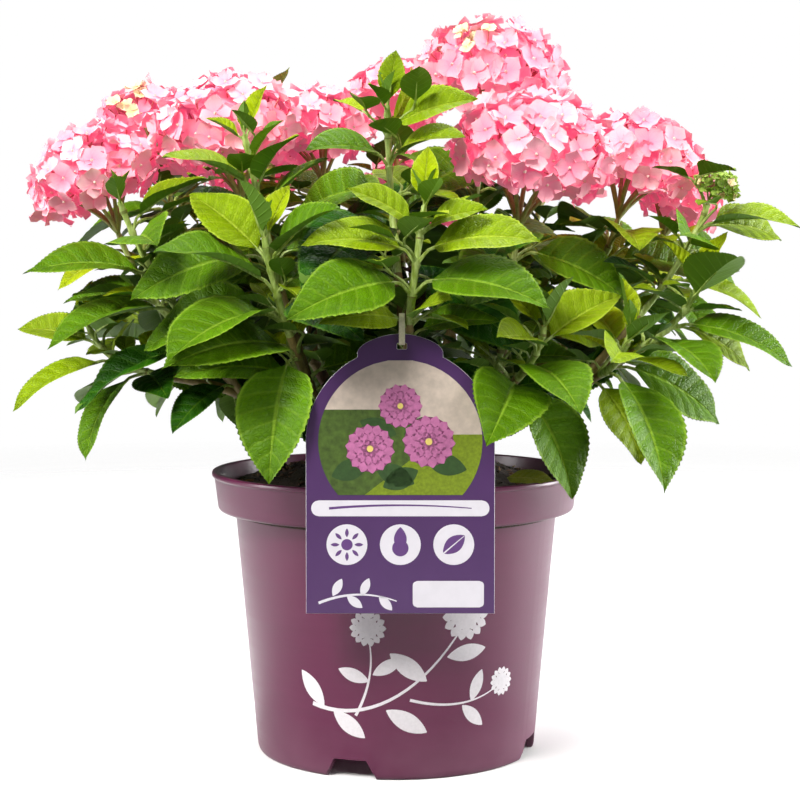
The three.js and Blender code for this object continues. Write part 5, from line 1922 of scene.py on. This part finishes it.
def patchy(x, y, cell, chance):
    """Smooth random heights from 0 to 1: a square lattice of random numbers, one for each `cell`
    millimetres, with every place between its four nearest by smoothed shares."""
    lattice = chance.random((64, 64))
    across, up = x / cell + 400.3, y / cell + 400.7
    i, j = np.floor(across).astype(int), np.floor(up).astype(int)
    a, b = across - i, up - j
    a, b = a * a * (3 - 2 * a), b * b * (3 - 2 * b)
    corner = lattice[i % 64, j % 64], lattice[(i + 1) % 64, j % 64]
    beyond = lattice[i % 64, (j + 1) % 64], lattice[(i + 1) % 64, (j + 1) % 64]
    return mix(mix(*corner, a), mix(*beyond, a), b)


def compost_relief(x, y):
    """Height of the compost's lumps over its plain surface, as three sizes of random patches."""
    chance = np.random.default_rng(SEED + 5)
    return sum(high * patchy(x, y, wide, chance) for high, wide in COMPOST_LUMPS) - 0.8


FILL_FOOT = 14.6  # height of the compost's underside


def compost_fill():
    """The compost: a lumpy disc over a plain filled form that follows the pot's inside."""
    wall = POT["wall"] + SEAT
    under = ((108.4, 152.9), (98.0, 147.0), (float(wall_radius(30)) - wall, FILL_FOOT))
    radius = np.concatenate((np.linspace(1.2, 108.2, 62), [radius for radius, _ in under]))
    points = carried_round(radius[:, None], 0.0, around(220))
    points[..., 2] = compost_height(radius)[:, None] + compost_relief(points[..., 0], points[..., 1])
    points[-3:, :, 2] = [[height] for _, height in under]
    fill = Joined()
    fill.carried(points[::-1], FILL_FOOT, COMPOST["top"])
    finish = Finish("compost")
    base = tint("compost")
    lump = finish.noise(4.0, 5.0, 0.65)
    grit = finish.cells(1.4)
    fibre = finish.noise(1.6, 4.0, 0.6, (0.3, 1.0, 1.0))
    colour = finish.shades(lump.rising(0.3, 0.7), base, 0.45, 1.7)
    colour = finish.blend(fibre.rising(0.62, 0.74) * 0.7, colour, display(112, 82, 54))
    finish.set("Base Color", colour)
    finish.set("Roughness", 0.98 - lump * 0.12)
    finish.set("Normal", finish.bump(lump * 0.6 + grit * 0.4, 1.2))
    fill.make("compost_fill", [finish.material], "compost", ["compost"])


def compost_litter():
    """What lies on the compost: crumbs and bark chips, as eight-sided grains, and one fallen leaf."""
    chance = np.random.default_rng(SEED + 6)
    crumbs = Joined()
    count = sizes().crumb_count
    reach, turn = 107 * np.sqrt(chance.random(count)), chance.uniform(0, 2 * np.pi, count)
    x, y = reach * np.cos(turn), reach * np.sin(turn)
    middle = np.stack((x, y, compost_height(reach) + compost_relief(x, y) + 0.4), axis=1)
    corners = np.array(((1, 0, 0), (0, 1, 0), (-1, 0, 0), (0, -1, 0), (0, 0, -1), (0, 0, 1)), float)
    chip = chance.random(count) < 0.35
    size = np.where(chip, chance.uniform(1.6, 4.6, count), chance.uniform(0.6, 1.9, count))
    thin = np.where(chip, 0.35, 0.9)
    stretch = np.stack((size, size * thin, size * thin * 0.7), axis=1)
    spin = chance.uniform(0, 2 * np.pi, count)
    body = corners[None] * stretch[:, None] * chance.uniform(0.7, 1.2, (count, 6, 1))
    cos, sin = np.cos(spin)[:, None], np.sin(spin)[:, None]
    lean = chance.uniform(-0.5, 0.5, (count, 1))
    across = body[..., 0] * cos - body[..., 1] * sin
    beside = body[..., 0] * sin + body[..., 1] * cos
    points = middle[:, None] + np.stack((across, beside, body[..., 2] + lean * body[..., 0]), axis=-1)
    one = np.vstack((fan(0, 5, 4), fan(0, 4, 4, flipped=True)))
    faces = (one[None] + 6 * np.arange(count)[:, None, None]).reshape(-1, 3)
    kinds = np.repeat(np.where(chip, chance.choice((1, 1, 2), count), chance.choice((0, 0, 1), count)), 8)
    crumbs.add(points.reshape(-1, 3), [(faces, kinds)])
    finishes = [
        plain_finish(name, display(*colour), rough, 0.3, 1.5, 0.3) for name, colour, rough in (
            ("crumb_dark", (40, 30, 24), 0.95), ("crumb_brown", (84, 60, 42), 0.9),
            ("bark_chip", (128, 94, 64), 0.85),
        )
    ]
    crumbs.make("compost_crumbs", finishes, "compost", ["compost"], smooth=False)

    fallen = Joined("blade")
    root = np.array((66.0, -64.0, 176.5))
    ahead = unit(np.array((0.86, -0.42, 0.12)))
    facing = np.array((-0.2, -0.35, 1.0))
    upper = unit(facing - ahead * (ahead @ facing))
    leaf = Leaf(root, root, ahead, upper, 30.0, 20.0, 16.0, 0)
    add_blade(fallen, leaf, 10, 0.02, 0.012, chance, 0, 1)
    faded = leaf_finish("leaf_fallen", display(176, 178, 62), display(206, 200, 120), 0.55)
    fallen.make("fallen_leaf", [faded, under_finish("leaf_fallen_under", display(150, 150, 80))],
                "foliage", ["compost"], crease=34)


# ---- label and strap


def label_card(wish):
    """The card: its outline carried through its thickness with softened edges, and its slot."""
    place = card_place(wish)
    half = LABEL["thickness"] / 2
    edge = card_outline(0.0, 30)
    keep = np.linalg.norm(np.diff(np.vstack((edge, edge[:1])), axis=0), axis=1) > 1e-6
    edge = edge[keep]
    slot_y = LABEL["tab_height"] - LABEL["slot_drop"]
    w, h = LABEL["slot_width"] / 2, LABEL["slot_height"] / 2
    slot = np.array(((-w, -h), (w, -h), (w, h), (-w, h))) + (LABEL["tuck"], slot_y)
    slot = rounded(np.vstack((slot[-1:], slot, slot[:1])), 0.7, 4)[1:-1]
    card = Joined()
    inset = 0.18
    rings = [(line, line + outward(line) * grow) for line, grow in ((edge, -inset), (slot, inset))]
    flat = [[(x, y, 0.0) for x, y in soft] for _, soft in rings]
    triangles = np.array([list(three) for three in tessellate_polygon(flat)])
    whole = np.vstack([soft for _, soft in rings])
    a, b, c = (whole[triangles[:, k]] for k in range(3))
    area = (b[:, 0] - a[:, 0]) * (c[:, 1] - a[:, 1]) - (b[:, 1] - a[:, 1]) * (c[:, 0] - a[:, 0])
    triangles[area < 0] = triangles[area < 0][:, ::-1]
    card.add(place(whole, half), [(triangles, 0)])
    card.add(place(whole, -half), [(triangles[:, ::-1], 1)])
    for index, (outline, soft) in enumerate(rings):
        count = len(outline)
        layers = [place(soft, half), place(outline, half - inset)]
        layers += [place(outline, inset - half), place(soft, -half)]
        quads = grid_quads(4, count, closed=True)
        card.add(np.vstack(layers), [(quads[:, ::-1] if index == 0 else quads, 1)])
    front = plain_finish("label_ground", tint("card"), 0.32, 0.05, 20.0)
    back = plain_finish("label_back", display(232, 230, 232), 0.45, 0.03, 12.0)
    card.make("label_card", [front, back], "label", ["label"], crease=30)


PICTURE = 46.0  # radius of the card's picture
INKS = (  # name, colour, how much it is mottled, and how coarsely in mm
    ("sky", (206, 190, 176), 0.12, 5.0), ("bank", (70, 92, 34), 0.35, 3.0),
    ("lawn", (122, 142, 30), 0.22, 1.5), ("leaf", (48, 76, 34), 0.2, 3.0),
    ("deep_pink", (130, 58, 104), 0.1, 3.0), ("pink", (196, 116, 164), 0.14, 3.0),
    ("white", (232, 228, 236), 0.03, 8.0), ("yellow", (238, 214, 120), 0.05, 3.0),
    ("violet", (98, 62, 122), 0.05, 6.0),
)


def label_print(wish):
    """The card's plain generic design: a pale sky over a green bank with round blooms, a pale band, three
    care signs on discs and a blank panel. Each layer lies a hair over the one below."""
    place = card_place(wish)
    art = Joined()

    def lay(shape, kind, layer):
        flat, quads = shape
        art.add(place(flat, LABEL["thickness"] / 2 + 0.05 * layer), [(quads, kind)])

    def picture(low, high, rows):
        up = np.linspace(low, high, rows)
        return up, np.sqrt(np.clip(PICTURE**2 - up**2, 0, None))

    sky, half = picture(-30, 45.5, 40)
    lay(flat_rows(sky, -half, half), 0, 1)
    bank, half = picture(-30, 18, 30)
    lay(flat_rows(bank, -half, np.minimum(half, PICTURE - (bank + 30) * 0.9)), 1, 2)
    lawn, half = picture(-30, 4, 24)
    lay(flat_rows(lawn, np.maximum(-half, -20 + (lawn + 30) * 1.3), half), 2, 3)
    for x, y, length, width, turn in (
        (-18, -12, 22, 12, 200), (-14, -14, 24, 12, -24), (10, -16, 22, 12, 206), (14, -10, 24, 12, -14),
        (-2, 4, 22, 11, 160), (2, 4, 22, 11, 22),
    ):
        lay(flat_blade(x, y, length, width, turn), 3, 4)
    for x, y, radius in ((-17, -4, 14), (16, 0, 15), (0, 20, 12.5)):
        lay(flat_disc(x, y, radius * 0.92), 4, 5)
        for shape in flat_mophead(x, y, radius, 11 * x):
            lay(shape, 5, 6)
        lay(flat_disc(x, y, radius * 0.13), 7, 7)
    lay(flat_panel(0, -37.5, 100, 9, 4.4), 6, 2)
    lay(flat_stroke((-40, -37.5), (0, -34), (40, -37.5), 1.4), 8, 3)
    for x in (-30, 0, 30):
        lay(flat_disc(x, -58, 11.5), 6, 2)
    for k in range(8):
        way = math.radians(45 * k)
        lay(flat_blade(-30 + 4.2 * math.cos(way), -58 + 4.2 * math.sin(way), 5, 2, 45 * k), 8, 3)
    lay(flat_disc(-30, -58, 3.2), 8, 3)
    lay(flat_disc(0, -60, 4.6), 8, 3)
    lay(flat_blade(0, -62, 14, 7.2, 90), 8, 4)
    lay(flat_blade(24, -63, 16, 9, 40), 8, 3)
    lay(flat_stroke((23, -64), (30, -58), (36, -53), 0.9), 6, 4)
    lay(flat_panel(27, -86, 40, 15, 2.5), 6, 2)
    lay(flat_stroke((-46, -91), (-24, -82), (-2, -90), 1.6), 6, 2)
    for x, turn in ((-38, 62), (-30, -38), (-22, 66), (-12, -48)):
        lay(flat_blade(x, -87, 11, 5, turn), 6, 2)
    inks = [plain_finish(f"ink_{name}", display(*colour), 0.34, *cloud) for name, colour, *cloud in INKS]
    art.make("label_print", inks, "label", ["label"])


def label_strap(wish):
    """The strap: a thin band with round edges, its section carried round the loop over the leaf stalk and
    under the card's bar."""
    hook = strap_line(wish)[0]
    loop = strap_outline(wish, STRAP["thickness"] / 2, 28)
    keep = np.linalg.norm(loop - np.roll(loop, 1, axis=0), axis=1) > 0.02
    loop = loop[keep]
    out = outward(loop)
    half, thick = STRAP["width"] / 2, STRAP["thickness"] / 2
    section = rounded(
        ((0, thick), (half, thick), (half, -thick), (-half, -thick), (-half, thick), (0, thick)), 0.3, 4
    )[:-1]
    yz = loop[:, None] + out[:, None] * section[None, :, 1:]
    x = np.broadcast_to(hook[0] + section[None, :, 0], yz.shape[:2])
    points = np.concatenate((x[..., None], yz), axis=-1)
    quads = grid_quads(len(loop) + 1, len(section), closed=True)[:, (0, 3, 2, 1)]
    band = Joined()
    band.add(points.reshape(-1, 3), [(quads % (len(loop) * len(section)), 0)])
    woven = plain_finish("strap_plastic", tint("strap"), 0.5, 0.1, 1.2, 0.08)
    band.make("label_strap", [woven], "strap", ["strap"], crease=50)


# ---- stage


def soft_light(name, place, aim, size, power, tint):
    """A soft light of a width and height at a place, turned to what it lights, all in metres."""
    light = bpy.data.lights.new(name, "AREA")
    light.shape = "RECTANGLE"
    light.size, light.size_y = size
    light.energy = power
    light.color = tint
    holder = linked(name, light)
    holder.location = place
    away = Vector(place) - Vector(aim)
    holder.rotation_euler = away.to_track_quat("Z", "Y").to_euler()


CAMERA = dict(  # sensor and lens in mm, then metres, and how far it looks down in radians
    sensor=36.0, lens=82.8, clip=(0.05, 100.0), place=(0.00256, -1.15, 0.3), down=0.071,
)
AIR = dict(colour=(1.0, 1.0, 0.98, 1.0), strength=0.14)
WHITE = (1.0, 1.0, 1.0)
LIGHTS = (  # name, place, height of its aim on the axis, size in metres, watts, colour
    ("key", (-0.8, -1.5, 1.9), 0.3, (0.8, 0.8), 68.0, (1.0, 0.985, 0.96)),
    ("fill", (1.5, -1.5, 1.2), 0.25, (1.2, 1.2), 20.0, WHITE),
    ("crown", (0.3, 0.8, 2.1), 0.35, (1.0, 1.0), 40.0, WHITE),
    ("left_strip", (-1.6, -0.15, 0.4), 0.15, (0.3, 1.0), 19.0, WHITE),
    ("right_strip", (1.5, 0.4, 0.4), 0.15, (0.4, 1.0), 36.0, WHITE),
)


def staged(name, points, faces, finish):
    """A mesh of the studio, which gives no bounced light."""
    mesh = bpy.data.meshes.new(name)
    mesh.from_pydata(points.tolist(), [], faces)
    mesh.materials.append(finish.material)
    thing = linked(name, mesh)
    thing.visible_diffuse = False
    return thing


def studio():
    """A pale floor, soft lights and the camera."""
    scene = bpy.context.scene
    scene.view_settings.view_transform = "Standard"
    finish = Finish("floor_paper", Roughness=0.9)
    grain = finish.noise(160.0, 2.0)
    finish.set("Base Color", finish.shades(grain.rising(0.3, 0.7), (0.97, 0.97, 0.97), 0.99, 1.01))
    away = finish.node("ShaderNodeTexCoord", output="Object")
    away = finish.node("ShaderNodeVectorMath", {"operation": "LENGTH"}, {0: away}, output=1)
    finish.set("Alpha", away.falling(0.35, 2.1))
    rings = np.array((0.25, 0.6, 1.0, 1.5, 2.2))[:, None]
    points = carried_round(rings, 0.0 * rings, around(48)).reshape(-1, 3)
    faces = grid_quads(5, 48, closed=True)[:, ::-1].tolist() + fan(0, 240, 48).tolist()
    staged("floor", np.vstack((points, (0, 0, 0))), faces, finish)

    white = Finish("backdrop_white", Roughness=1.0)
    white.set("Base Color", (0.0, 0.0, 0.0))
    white.set("Emission Color", WHITE)
    white.set("Emission Strength", 1.0)
    quads, ends = closed_faces(15, 32)
    backdrop = staged("backdrop", ball_points(0.0, 14.0, 16, 32), quads.tolist() + ends.tolist(), white)
    backdrop.visible_glossy = False
    backdrop.visible_shadow = False

    world = bpy.data.worlds.new("studio_air")
    scene.world = world
    world.use_nodes = True
    air = world.node_tree.nodes["Background"]
    air.inputs["Color"].default_value = AIR["colour"]
    air.inputs["Strength"].default_value = AIR["strength"]
    for name, place, aim_height, size, power, tint in LIGHTS:
        soft_light(name, place, (0.0, 0.0, aim_height), size, power, tint)

    camera = bpy.data.cameras.new("camera")
    camera.sensor_width = CAMERA["sensor"]
    camera.lens = CAMERA["lens"]
    camera.clip_start, camera.clip_end = CAMERA["clip"]
    holder = linked("camera", camera)
    holder.location = CAMERA["place"]
    holder.rotation_euler = (math.pi / 2 - CAMERA["down"], 0.0, 0.0)
    scene.camera = holder


# ---- operators, panel and registration


def hanging_label():
    """The label, its print and its strap."""
    wish = hanging_wish()
    label_card(wish)
    label_print(wish)
    label_strap(wish)


class Step:
    """What the operators share: each does its jobs in turn."""

    jobs = ()

    def execute(self, context):
        for job in self.jobs:
            job()
        return {"FINISHED"}


class HYDRANGEA_OT_pot(Step, bpy.types.Operator):
    """Make the pot and the sprig printed on it"""

    bl_idname = "hydrangea.pot"
    bl_label = "Pot"
    jobs = (nursery_pot, sprig_on_pot)


class HYDRANGEA_OT_compost(Step, bpy.types.Operator):
    """Fill the pot with compost, its crumbs and a fallen leaf"""

    bl_idname = "hydrangea.compost"
    bl_label = "Compost"
    jobs = (compost_fill, compost_litter)


class HYDRANGEA_OT_canes(Step, bpy.types.Operator):
    """Make the canes with their bark, and the dead stub"""

    bl_idname = "hydrangea.canes"
    bl_label = "Canes"
    jobs = (bark_canes, dead_stub)


class HYDRANGEA_OT_foliage(Step, bpy.types.Operator):
    """Grow the shoots, leaf stalks, side twigs and leaves"""

    bl_idname = "hydrangea.foliage"
    bl_label = "Shoots and leaves"
    jobs = (grown_foliage,)


class HYDRANGEA_OT_blossom(Step, bpy.types.Operator):
    """Make the flower heads and their stalks"""

    bl_idname = "hydrangea.blossom"
    bl_label = "Blossom"
    jobs = (blossom_heads,)


class HYDRANGEA_OT_label(Step, bpy.types.Operator):
    """Make the hanging label, its print and its strap"""

    bl_idname = "hydrangea.label"
    bl_label = "Label"
    jobs = (hanging_label,)


class HYDRANGEA_OT_studio(Step, bpy.types.Operator):
    """Set up the floor, the lights and the camera"""

    bl_idname = "hydrangea.studio"
    bl_label = "Studio"
    jobs = (studio,)


OPERATORS = (
    HYDRANGEA_OT_pot, HYDRANGEA_OT_compost, HYDRANGEA_OT_canes, HYDRANGEA_OT_foliage,
    HYDRANGEA_OT_blossom, HYDRANGEA_OT_label, HYDRANGEA_OT_studio,
)


class HYDRANGEA_PT_panel(bpy.types.Panel):
    """The sidebar's list of sizes, colours and steps"""

    bl_idname = "HYDRANGEA_PT_panel"
    bl_label = "Hydrangea"
    bl_space_type = "VIEW_3D"
    bl_region_type = "UI"
    bl_category = "Hydrangea"

    def draw(self, context):
        for title, group in (("Sizes", sizes()), ("Colours", colours())):
            box = self.layout.box()
            box.label(text=title)
            for name in group.__annotations__:
                box.prop(group, name)
        for step in OPERATORS:
            self.layout.operator(step.bl_idname, text=step.bl_label)


CLASSES = (HydrangeaSizes, HydrangeaColours, *OPERATORS, HYDRANGEA_PT_panel)


def register():
    """Adds the classes, and the sizes and colours of every scene."""
    for part in CLASSES:
        bpy.utils.register_class(part)
    bpy.types.Scene.hydrangea_sizes = PointerProperty(type=HydrangeaSizes)
    bpy.types.Scene.hydrangea_colours = PointerProperty(type=HydrangeaColours)


def unregister():
    """Takes away what register adds."""
    del bpy.types.Scene.hydrangea_colours
    del bpy.types.Scene.hydrangea_sizes
    for part in reversed(CLASSES):
        bpy.utils.unregister_class(part)


def main():
    """Makes every piece and the stage."""
    register()
    for step in OPERATORS:
        group, name = step.bl_idname.split(".")
        getattr(getattr(bpy.ops, group), name)()


if __name__ == "__main__":
    main()
